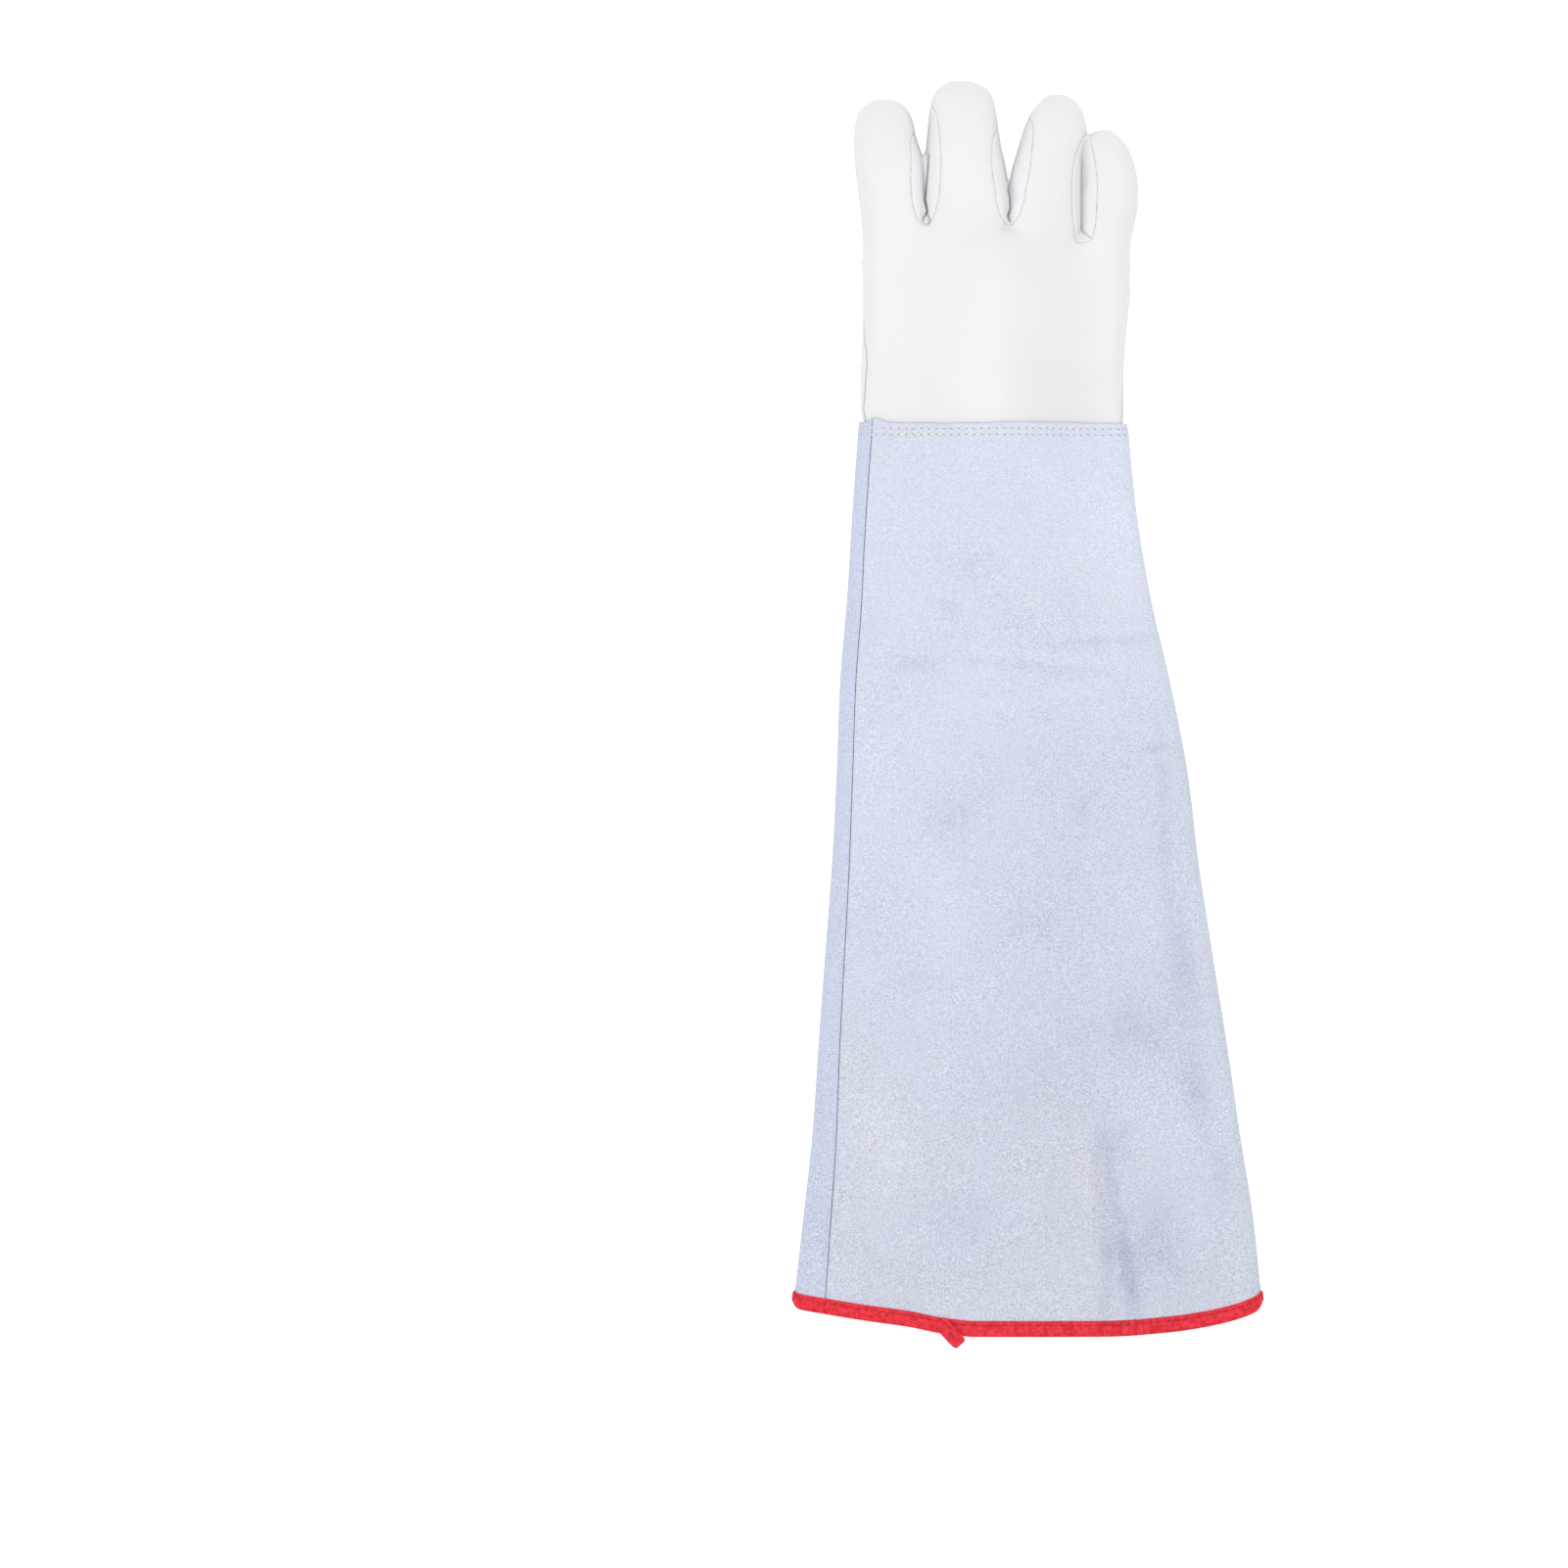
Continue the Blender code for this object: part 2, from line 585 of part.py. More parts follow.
def make_hand(parts, cutters, leather):
    """The back, the palm, the side strips and the thumb, cut from one leather skin along their seams."""
    form = make_palm_form("palm_form", 0.0, cutters)
    hollow = make_palm_form("palm_hollow", LEATHER_WALL, cutters)
    for finger in FINGERS:
        boolean(form, "UNION", make_finger_form(finger, 0.0, cutters))
        boolean(hollow, "UNION", make_finger_form(finger, LEATHER_WALL, cutters))
    boolean(form, "DIFFERENCE", hollow)
    skin = helper(evaluated_copy(form, "hand_skin", cutters))
    thumb_hole = make_thumb_hole(cutters)

    seam_cuts = []
    for strip in STRIPS:
        low, high = -0.01, THUMB_LIFT + 2 * PALM_HEIGHT
        levels = (lambda x, y: low), (lambda x, y: high)
        region = helper(prism_object(f"{strip.name}_region", strip_outline(strip, 0.0), *levels, cutters))
        wider = strip_outline(strip, SEAM_GAP)
        seam_cuts.append(helper(prism_object(f"{strip.name}_seam", wider, *levels, cutters)))
        side = evaluated_copy(skin, strip.name, parts, leather)
        boolean(side, "INTERSECT", region)

    for name, above in (("hand_back", True), ("hand_palm", False)):
        panel = evaluated_copy(skin, name, parts, leather)
        for cut in seam_cuts:
            boolean(panel, "DIFFERENCE", cut)
        boolean(panel, "DIFFERENCE", half_space(f"{name}_other_side", not above, cutters))
        if not above:
            boolean(panel, "DIFFERENCE", thumb_hole)

    pouch = make_thumb_form("thumb_form", 0.0, cutters)
    thumb = evaluated_copy(pouch, "thumb", parts, leather)
    boolean(thumb, "DIFFERENCE", make_thumb_form("thumb_hollow", LEATHER_WALL, cutters))
    boolean(thumb, "DIFFERENCE", thumb_hole)


def make_gauntlet(parts, suede):
    """The two suede panels, each a curved sheet with its wall inwards."""
    bound = 1 - TAPE_WIDTH / GAUNTLET_LENGTH
    extra = (LAP_LENGTH / GAUNTLET_LENGTH, 0.05, 0.15, 0.25, 0.35, bound)
    places = sorted({row.along for row in GAUNTLET_ROWS} | set(extra))
    chains = [gauntlet_chains(along, 0.0) for along in places]
    for index, name in enumerate(("gauntlet_back", "gauntlet_palm")):
        panel = grid_object(name, [pair[index] for pair in chains], parts, suede)
        wall = panel.modifiers.new("wall", "SOLIDIFY")
        wall.thickness = SUEDE_WALL
        wall.offset = -1.0
        wall.use_even_offset = True


def make_binding(parts, tape):
    """The tape folded round the hem: one ring whose section is a deep U, open towards the fingers."""
    bound = 1 - TAPE_WIDTH / GAUNTLET_LENGTH
    near, far = SEAM_GAP, SEAM_GAP + TAPE_THICKNESS
    outside, inside = -far, SUEDE_WALL + far
    # Place along the gauntlet, inset from its outer face and distance past the hem, round the U
    section = (
        (bound, -near, 0.0),
        (1.0, -near, near),
        (1.0, SUEDE_WALL + near, near),
        (bound, SUEDE_WALL + near, 0.0),
        (bound, inside, 0.0),
        (1.0, inside, near),
        (1.0, inside - TAPE_THICKNESS * 0.6, far),
        (1.0, outside + TAPE_THICKNESS * 0.6, far),
        (1.0, outside, near),
        (bound, outside, 0.0),
    )
    loops = []
    for along, inset, lower in section:
        back, front = gauntlet_chains(along, inset, lower)
        loops.append(back + front)
    loops.append(loops[0])
    ring = grid_object("hem_binding", loops, parts, tape, closed=True)
    shape = bmesh.new()
    shape.from_mesh(ring.data)
    bmesh.ops.remove_doubles(shape, verts=shape.verts, dist=1e-6)
    bmesh.ops.recalc_face_normals(shape, faces=shape.faces)
    shape.to_mesh(ring.data)
    shape.free()


def gauntlet_top(x, y, inset):
    """The height of the gauntlet's outer top surface there, moved inwards by inset, near the mouth."""
    along = min((WRIST_Y - y) / GAUNTLET_LENGTH, 1.0)
    left, right, floor, fold, height, _ = gauntlet_measures(along)
    share = (x - left - fold) / (right - left - 2 * fold)
    across = (2 * x - left - right) / (right - left)
    crown = (height - floor - 2 * fold) * math.sin(math.pi * share) ** 2
    return floor + 2 * fold + crown - inset - gauntlet_dent(along, across)


def make_tail(parts, tape):
    """The tape's loose end: a short folded tab laid askew over the binding and hanging past the hem."""
    seat = -(2 * SEAM_GAP + 1.35 * TAPE_THICKNESS)
    thickness = 2 * TAPE_THICKNESS
    corner = TAIL_WIDTH * 0.28
    reach = (TAIL_LENGTH / 2 - corner) * abs(math.sin(TAIL_TURN))
    reach += (TAIL_WIDTH / 2 - corner) * abs(math.cos(TAIL_TURN)) + corner
    middle_y = HEM_Y - TAIL_DROP + reach
    outline = []
    for side_x, side_y, start in ((1, 1, 0), (-1, 1, 90), (-1, -1, 180), (1, -1, 270)):
        for step in range(4):
            angle = math.radians(start + 30 * step)
            u = side_x * (TAIL_LENGTH / 2 - corner) + corner * math.cos(angle)
            v = side_y * (TAIL_WIDTH / 2 - corner) + corner * math.sin(angle)
            x = TAIL_SIDE + u * math.cos(TAIL_TURN) - v * math.sin(TAIL_TURN)
            y = middle_y + u * math.sin(TAIL_TURN) + v * math.cos(TAIL_TURN)
            outline.append((x, y))

    def low(x, y):
        return gauntlet_top(x, y, seat)

    def high(x, y):
        return gauntlet_top(x, y, seat) + thickness

    prism_object("binding_tail", outline, low, high, parts, tape)


def main():
    for old in list(bpy.data.objects):
        bpy.data.objects.remove(old)
    parts = bpy.data.collections.new("cryogenic_glove")
    cutters = bpy.data.collections.new("cutters")
    for collection in (parts, cutters):
        bpy.context.scene.collection.children.link(collection)
    leather = make_material("white_leather", WHITE_LEATHER)
    suede = make_material("blue_suede", BLUE_SUEDE)
    tape = make_material("red_tape", RED_TAPE)
    make_hand(parts, cutters, leather)
    make_gauntlet(parts, suede)
    make_binding(parts, tape)
    make_tail(parts, tape)
    for made in parts.objects:
        made.data.set_sharp_from_angle(angle=math.radians(40))


main()
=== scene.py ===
import math
from collections import namedtuple

import bmesh
import bpy
import numpy as np
from mathutils.kdtree import KDTree
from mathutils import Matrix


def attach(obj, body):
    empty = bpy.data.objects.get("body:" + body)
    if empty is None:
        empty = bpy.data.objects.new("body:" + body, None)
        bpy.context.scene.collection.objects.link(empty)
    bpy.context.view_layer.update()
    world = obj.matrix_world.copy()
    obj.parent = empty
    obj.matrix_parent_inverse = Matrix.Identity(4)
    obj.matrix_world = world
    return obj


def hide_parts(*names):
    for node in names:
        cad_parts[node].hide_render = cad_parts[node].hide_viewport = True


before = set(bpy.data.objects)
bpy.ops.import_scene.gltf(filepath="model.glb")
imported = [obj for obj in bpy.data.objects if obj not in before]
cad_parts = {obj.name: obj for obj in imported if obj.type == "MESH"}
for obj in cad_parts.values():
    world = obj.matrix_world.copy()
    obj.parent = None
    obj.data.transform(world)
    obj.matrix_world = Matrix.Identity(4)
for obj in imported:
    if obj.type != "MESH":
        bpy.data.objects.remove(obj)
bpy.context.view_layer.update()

# GAUNTLET
# Two panels of split suede, cut long and wide and sewn into a tube that lies flat. The lower panel comes up
# over the thumb's side, so its seam shows on top. The upper edge is raw, and is lapped over the hand.
GAUNTLET_LENGTH, WRIST_Y = 0.4941, 0.1584
WRIST_SIDE, WRIST_WIDTH, MOUTH_WIDTH = 0.0187, 0.1455, 0.2541
WRIST_HEIGHT, MOUTH_HEIGHT = 0.0260, 0.0280
WRIST_FOLD, MOUTH_FOLD = 0.0069, 0.0080
SEAM_INSET, HEM_RISE, HEM_STEP = 0.0170, 0.0150, 0.0040
SUEDE_WALL, TAPE_ROOM, MOUTH_CORNER = 0.0020, 0.0012, 0.0034
# The thumb's lift, and where it starts and how far it takes to fade across, and to rise and fall along
THUMB_LIFT = 0.0116
LIFT_ACROSS, LIFT_RISE, LIFT_FALL = (-0.01923, 0.0630), (0.0201, 0.1383), (0.25064, 0.11429)
MM = 0.001


def per_mille(*rows):
    return np.array(rows) / 1000


# Along, left, right, height and seam: shares of the way from the wrist to the mouth
GAUNTLET_ROWS = per_mille(
    (0, 0, 0, 0, 390), (100, 97, 66, -600, 420), (200, 180, 175, -1100, 480),
    (300, 290, 325, -1500, 510), (400, 340, 450, -1700, 520), (500, 410, 530, -1700, 560),
    (600, 510, 630, -1400, 620), (700, 610, 735, -1000, 680), (800, 700, 830, -500, 760),
    (900, 845, 933, 300, 880), (1000, 1000, 1000, 1000, 1000)
)
# From -1 at the hem's left end to 1 at its right end, and how far the hem rises there
HEM_ROWS = per_mille(
    (-1000, 1000), (-830, 750), (-680, 550), (-500, 340), (-370, 120), (-220, 0), (340, 0), (600, 150),
    (770, 360), (880, 580), (950, 790), (1000, 1000)
)
# Along, across, long, wide and depth of the soft dents in its top
DENTS = (
    (0.93, 0.40, 0.20, 0.060, 0.10), (0.92, 0.62, 0.16, 0.060, -0.06), (0.58, -0.15, 0.14, 0.160, 0.05),
    (0.36, 0.45, 0.07, 0.180, 0.07), (0.22, 0.30, 0.05, 0.160, -0.05), (0.76, -0.45, 0.12, 0.120, -0.05),
)


def smooth_step(t):
    t = np.clip(t, 0.0, 1.0)
    return t * t * (3 - 2 * t)


def smooth_rows(rows, places):
    """A table's columns at many places along its first one, on a curve that never swings past a row."""
    table = np.array(rows, float)
    x, steps = table[:, 0], np.diff(table[:, 0])
    places = np.clip(places, x[0], x[-1])
    low = np.clip(np.searchsorted(x, places, side="right") - 1, 0, len(steps) - 1)
    t = (places - x[low]) / steps[low]
    columns = []
    for y in table[:, 1:].T:
        rise = np.diff(y) / steps
        slope = np.concatenate((rise[:1], np.zeros(len(rise) - 1), rise[-1:]))
        for k in range(1, len(rise)):
            if rise[k - 1] * rise[k] > 0:
                a, b = 2 * steps[k] + steps[k - 1], steps[k] + 2 * steps[k - 1]
                slope[k] = (a + b) / (a / rise[k - 1] + b / rise[k])
        start, end = slope[low] * steps[low], slope[low + 1] * steps[low]
        gap = y[low + 1] - y[low]
        columns.append(y[low] + t * (start + t * (3 * gap - 2 * start - end + t * (start + end - 2 * gap))))
    return columns


def thumb_lift(x, y):
    """How much the thumb folded underneath raises the glove there."""
    across, rise, fall = (smooth_step((place - start) / length) for place, (start, length) in
                          ((x, LIFT_ACROSS), (y, LIFT_RISE), (y, LIFT_FALL)))
    return THUMB_LIFT * (1 - across) * rise * (1 - fall)


# The first points beside a seam stand close together
NEAR_SEAM = (0.0, 0.0003, 0.0006, 0.0010, 0.0015, 0.0021, 0.0029, 0.0040, 0.0056)
# Least distance of a seam from the fold beside it, and how far the two panels' edges stay apart
SEAM_ROOM, SEAM_GAP = 0.0006, 0.0003


def flat_tube(measures, inset, top_steps, under_steps):
    """Two chains of (x, z) points round each of a stack of flat tubes, meeting at their two seams."""
    left, right, floor, fold, height, seam = (np.reshape(m, (-1, 1)) for m in measures)
    first, last = left + fold, right - fold
    crown = np.maximum(height - floor - 2 * fold, 0.0)
    near = np.array(NEAR_SEAM)

    def top(x):
        share = np.clip((x - first) / (last - first), 0.0, 1.0)
        slope = crown * math.pi / (last - first) * np.sin(2 * math.pi * share)
        z = floor + 2 * fold + crown * np.sin(math.pi * share) ** 2
        away = inset / np.hypot(slope, 1.0)
        return np.stack((x + slope * away, z - away), axis=-1)

    def arc(middle, start):
        angle = np.radians(start - 180 * np.arange(1, 16) / 16)
        radius = fold - inset
        return np.stack((middle + radius * np.cos(angle), floor + fold + radius * np.sin(angle)), axis=-1)

    def under(start, end, steps):
        x = start + (end - start) * np.linspace(0, 1, steps + 1)
        return np.stack((x, np.broadcast_to(floor + inset, x.shape)), axis=-1)

    seam = np.maximum(seam, fold + SEAM_ROOM)
    top_start, under_end = left + seam, right - seam
    far = np.linspace(0, 1, top_steps + 1)[1:]
    spread = np.concatenate((np.broadcast_to(near, (len(left), len(near))),
                             near[-1] + (last - top_start - near[-1]) * far), axis=1)
    back = [top(top_start + spread), arc(last, 90), under(last, under_end, 4)]
    strip = (1 - np.linspace(1, 0, 13) ** 2) * (top_start - first - SEAM_GAP)
    front = [under(under_end - SEAM_GAP, first, under_steps), arc(first, -90), top(first + strip)]
    return np.concatenate(back, axis=1), np.concatenate(front, axis=1)


def gauntlet_chains(places, inset=0.0, lower=0.0, top_steps=128, under_steps=72):
    """The gauntlet's two chains of points at each place along it, inset from its face or past its hem."""
    places = np.atleast_1d(np.asarray(places, float))
    row_left, row_right, row_height, row_seam = smooth_rows(GAUNTLET_ROWS, places)
    wrist_left, wrist_right = -WRIST_SIDE - WRIST_WIDTH / 2, -WRIST_SIDE + WRIST_WIDTH / 2
    left = wrist_left + row_left * (-MOUTH_WIDTH / 2 - wrist_left)
    right = wrist_right + row_right * (MOUTH_WIDTH / 2 - wrist_right)
    fold = WRIST_FOLD + places * (MOUTH_FOLD - WRIST_FOLD)
    height = WRIST_HEIGHT + row_height * (MOUTH_HEIGHT - WRIST_HEIGHT)
    # Towards the mouth there is room for the tape beneath it
    floor = TAPE_ROOM * smooth_step((places - 0.94) / 0.04)
    seam = row_seam * SEAM_INSET
    pair = flat_tube((left, right, floor, fold, height, seam), inset, top_steps, under_steps)
    left, right, fold, seam, along = (v.reshape(-1, 1) for v in (left, right, fold, seam, places))
    made = []
    for chain in pair:
        x, z = chain[..., 0], chain[..., 1]
        across = (2 * x - left - right) / (right - left)
        underneath = z < fold
        rise = HEM_RISE * smooth_rows(HEM_ROWS, across)[0]
        rise = rise + underneath * HEM_STEP * (1 - np.minimum(np.abs(across), 1.0) ** 2)
        # The mouth's two corners are rounded
        corner = np.clip((np.abs(across) - 0.965) / 0.035, 0.0, 1.0)
        rise = rise + MOUTH_CORNER * (1 - np.sqrt(1 - corner ** 2)) * smooth_step((along - 0.975) / 0.025)
        y = WRIST_Y - along * (GAUNTLET_LENGTH - rise) - lower
        dent = np.zeros_like(x)
        for dent_along, dent_across, dent_long, dent_wide, depth in DENTS:
            a, b = (along - dent_along) / dent_long, (across - dent_across) / (2 * dent_wide)
            dent += depth * np.exp(-a * a - b * b)
        dent *= MOUTH_HEIGHT * smooth_step(along / 0.1) * smooth_step((1 - np.abs(across)) / 0.15)
        z = np.where(z > fold, z - dent, z)
        # The side seam is turned in, so both panels roll down into it
        from_seam = np.abs(x - left - np.maximum(seam, fold + SEAM_ROOM)) / MM
        roll = 0.4 * np.exp(-(from_seam / 0.7) ** 2) - 0.2 * np.exp(-((from_seam - 3.2) / 1.6) ** 2)
        folded = creases(x, y) * smooth_step((1 - np.abs(across)) / 0.04)
        z = np.where(underneath, z, z - roll * MM + folded)
        # The raw upper edge isn't cut quite straight, and stands up a little beside the seam
        beside_seam = np.exp(-((x + 0.0822) / 0.0040) ** 2)
        edge = 2.2 * beside_seam + 0.4 * np.sin(x * 61 + 1.0) + 0.12 * np.sin(x * 310) - 1.0
        y = y + (1 - smooth_step(along / 0.012)) * edge * MM
        made.append(np.stack((x, y, z + thumb_lift(x, y)), axis=-1))
    return made


# Ends of each crease in the suede, how deep it is and how wide, in millimetres
CREASES = (
    (-78.2, -263.4, -62.0, -258.5, 0.35, 0.9), (-62.0, -258.5, -46.4, -253.3, 0.30, 0.8),
    (64.4, -199.3, 72.9, -209.4, 0.8, 1.1), (40.0, -240.0, 47.5, -292.0, 2.6, 6.0),
    (47.5, -292.0, 46.0, -326.0, 2.0, 5.0), (52.0, 128.0, 43.0, 122.0, 0.45, 1.6),
    (50.0, 137.5, 44.5, 133.0, 0.35, 1.2), (69.0, 88.0, 55.0, 79.0, 0.45, 2.6),
    (75.0, 44.0, 66.0, 41.0, 0.45, 1.8), (-97.0, 36.0, -90.0, 40.0, 0.4, 1.6),
    (-55.0, 40.0, 30.0, 62.0, 0.30, 9.0), (-60.0, -90.0, 20.0, -70.0, 0.35, 12.0),
    (100.0, -262.0, 110.0, -255.0, 0.5, 2.4),
)


def creases(x, y):
    """The height that the creases take from the top of the gauntlet."""
    total = np.zeros_like(x)
    for x0, y0, x1, y1, depth, width in CREASES:
        u, v, run_x, run_y = x - x0 * MM, y - y0 * MM, (x1 - x0) * MM, (y1 - y0) * MM
        t = np.clip((u * run_x + v * run_y) / (run_x ** 2 + run_y ** 2), 0.0, 1.0)
        away = np.hypot(u - t * run_x, v - t * run_y) / (width * MM)
        # A low swelling runs along both sides of each
        total -= depth * MM * (np.exp(-away * away) - 0.35 * np.exp(-((away - 2.0) / 0.9) ** 2))
    return total


# Where handling and storage have marked the nap, and painted shade and painted light beside the creases (a
# dark patch on one side, a pale one on the other): across, along, how long and wide in millimetres, turned by
# how many degrees, and how much darker (or, below zero, paler)
MARKS_AND_FOLD_SHADE = (
    (42, 40, 26, 2.6, 4, 0.30), (42, 44, 26, 2.0, 4, -0.15), (-61, 27, 11, 4, 5, 0.26),
    (8, 25, 34, 3.2, -6, 0.24), (8, 30, 36, 2.2, -6, -0.12), (70, -18, 8, 2.2, 0, 0.34),
    (-42, 57, 8, 6, 0, 0.14), (-32, 80, 14, 11, 0, 0.12), (29, -51, 5, 6, 0, 0.22),
    (-39, -56, 12, 10, 20, 0.20), (74, -60, 4, 42, 3, 0.24), (84, -136, 8, 26, 6, 0.40),
    (57, -172, 15, 9, -30, 0.26), (91, -204, 7, 24, 8, 0.36), (104, -247, 6, 13, 5, 0.24),
    (47, -231, 9, 9, 0, 0.24), (46, -262, 3.2, 30, 9, 0.42), (55, -306, 5, 24, 7, 0.62),
    (71, -285, 13, 21, 10, 0.36), (-36, -275, 22, 14, 10, 0.12), (-56, -146, 14, 8, 0, 0.14),
    (-80, -228, 22, 36, 5, -0.13), (32, -246, 5, 22, 9, -0.20), (40, 92, 34, 40, 0, -0.14),
    (-60, -90, 22, 30, 0, -0.08), (0, -110, 26, 18, 0, 0.08), (4, -60, 70, 72, 0, 0.09),
    (20, -180, 60, 40, 0, 0.09),
)


def marks_and_fold_shade(x, y):
    """How much darker the suede is at each place, from its marks and from the painted shade and light beside
    its creases.
    """
    total = np.zeros_like(x)
    for across, along, long, wide, turn, amount in MARKS_AND_FOLD_SHADE:
        c, s = math.cos(math.radians(turn)), math.sin(math.radians(turn))
        u, v = x - across * MM, y - along * MM
        lengthways, sideways = (u * c + v * s) / (long * MM), (v * c - u * s) / (wide * MM)
        total += amount * np.exp(-lengthways ** 2 - sideways ** 2)
    return total


def grid_mesh(name, rows, closed=False):
    """A mesh through rows of points, each row closed into a ring or left open."""
    rows = np.asarray(rows)
    high, wide = rows.shape[:2]
    index = np.arange(high * wide).reshape(high, wide)
    if closed:
        index = np.concatenate((index, index[:, :1]), axis=1)
    quads = np.stack((index[:-1, :-1], index[:-1, 1:], index[1:, 1:], index[1:, :-1]), axis=-1)
    mesh = bpy.data.meshes.new(name)
    mesh.from_pydata(rows.reshape(-1, 3).tolist(), [], quads.reshape(-1, 4).tolist())
    return mesh


def in_scene(name, data):
    """An object of the scene that holds a mesh, a light or a lens."""
    made = bpy.data.objects.new(name, data)
    bpy.context.scene.collection.objects.link(made)
    return made


def finished(name, mesh, *materials):
    """A piece of the glove in the scene, smooth all over."""
    mesh.name = name
    mesh.materials.clear()
    for material in materials:
        mesh.materials.append(material)
    mesh.shade_smooth()
    return in_scene(name, mesh)


def solidified(made, thickness):
    """Gives a skin its wall, on its inner side."""
    wall = made.modifiers.new("wall", "SOLIDIFY")
    wall.thickness = thickness
    wall.offset = -1.0
    wall.use_even_offset = False
    return made


def new_material(name, roughness, specular=0.5):
    """A material, its node tree, its shader, and the place on the object that its patterns follow."""
    material = bpy.data.materials.new(name)
    material.use_nodes = True
    shader = material.node_tree.nodes["Principled BSDF"]
    shader.inputs["Roughness"].default_value = roughness
    shader.inputs["Specular IOR Level"].default_value = specular
    place = add_node(material.node_tree, "ShaderNodeTexCoord").outputs["Object"]
    return material, material.node_tree, shader, place


def add_node(tree, kind, props=(), **settings):
    """A node with its properties and inputs set. An input is given a value, or a socket to join it to."""
    made = tree.nodes.new(kind)
    for name, value in dict(props).items():
        setattr(made, name, value)
    for name, value in settings.items():
        key = int(name[1:]) if name[0] == "i" and name[1:].isdigit() else name.replace("_", " ")
        if isinstance(value, bpy.types.NodeSocket):
            tree.links.new(value, made.inputs[key])
        else:
            made.inputs[key].default_value = value
    return made


def maths(tree, operation, *values, kind="ShaderNodeMath"):
    """The result of a sum on values and sockets."""
    inputs = {f"i{k}": value for k, value in enumerate(values)}
    return add_node(tree, kind, {"operation": operation}, **inputs).outputs[0]


def noise(tree, place, scale, detail=2.0, roughness=0.5):
    return add_node(tree, "ShaderNodeTexNoise", Vector=place, Scale=scale, Detail=detail,
                    Roughness=roughness).outputs["Fac"]


def mapped(tree, value, low, high, to_low=0.0, to_high=1.0, kind="LINEAR"):
    """A value carried from one range to another, and held at its ends."""
    return add_node(tree, "ShaderNodeMapRange", {"interpolation_type": kind}, Value=value, From_Min=low,
                    From_Max=high, To_Min=to_low, To_Max=to_high).outputs["Result"]


def attribute(tree, name):
    return add_node(tree, "ShaderNodeAttribute", {"attribute_name": name}).outputs["Fac"]


def ramp(tree, factor, *stops):
    """A colour ramp between two stops, each a position and a colour."""
    made = add_node(tree, "ShaderNodeValToRGB", Fac=factor)
    for mark, (position, colour) in zip(made.color_ramp.elements, stops):
        mark.position = position
        mark.color = (*colour, 1.0)
    return made.outputs["Color"]


def scaled(tree, colour, *factors):
    """A colour times one or more values."""
    for factor in factors:
        colour = add_node(tree, "ShaderNodeVectorMath", {"operation": "SCALE"}, i0=colour,
                          Scale=factor).outputs[0]
    return colour


def dressed(tree, shader, colour, height, strength, distance):
    """Gives a shader its colour, and a bump of that strength and depth."""
    bump = add_node(tree, "ShaderNodeBump", Height=height, Strength=strength, Distance=distance)
    tree.links.new(colour, shader.inputs["Base Color"])
    tree.links.new(bump.outputs["Normal"], shader.inputs["Normal"])


# Painted shade: a hide is darkened where it stands on edge, along its sides and folds, broken up in patches
edge_shade_group = bpy.data.node_groups.new("painted_edge_shade", "ShaderNodeTree")
for label in ("Patches", "Depth"):
    edge_shade_group.interface.new_socket(label, in_out="INPUT", socket_type="NodeSocketFloat")
edge_shade_group.interface.new_socket("Shade", in_out="OUTPUT", socket_type="NodeSocketFloat")
inside = edge_shade_group.nodes.new("NodeGroupInput").outputs
outside = edge_shade_group.nodes.new("NodeGroupOutput").inputs
facing = add_node(edge_shade_group, "ShaderNodeNewGeometry").outputs["Normal"]
level = maths(edge_shade_group, "ABSOLUTE", add_node(edge_shade_group, "ShaderNodeSeparateXYZ", Vector=facing).outputs["Z"])
folded = mapped(edge_shade_group, level, 0.34, 0.06, kind="SMOOTHSTEP")
patches = noise(edge_shade_group, add_node(edge_shade_group, "ShaderNodeTexCoord").outputs["Object"], inside["Patches"])
amount = maths(edge_shade_group, "MULTIPLY", folded, mapped(edge_shade_group, patches, 0.3, 0.7, 0.75))
amount = maths(edge_shade_group, "MULTIPLY", amount, inside["Depth"])
edge_shade_group.links.new(maths(edge_shade_group, "SUBTRACT", 1.0, amount), outside["Shade"])


def painted_edge_shade_of(tree, patches, depth):
    """How much of a colour the painted edge shade leaves."""
    made = tree.nodes.new("ShaderNodeGroup")
    made.node_tree = edge_shade_group
    made.inputs["Patches"].default_value = patches
    made.inputs["Depth"].default_value = depth
    return made.outputs["Shade"]


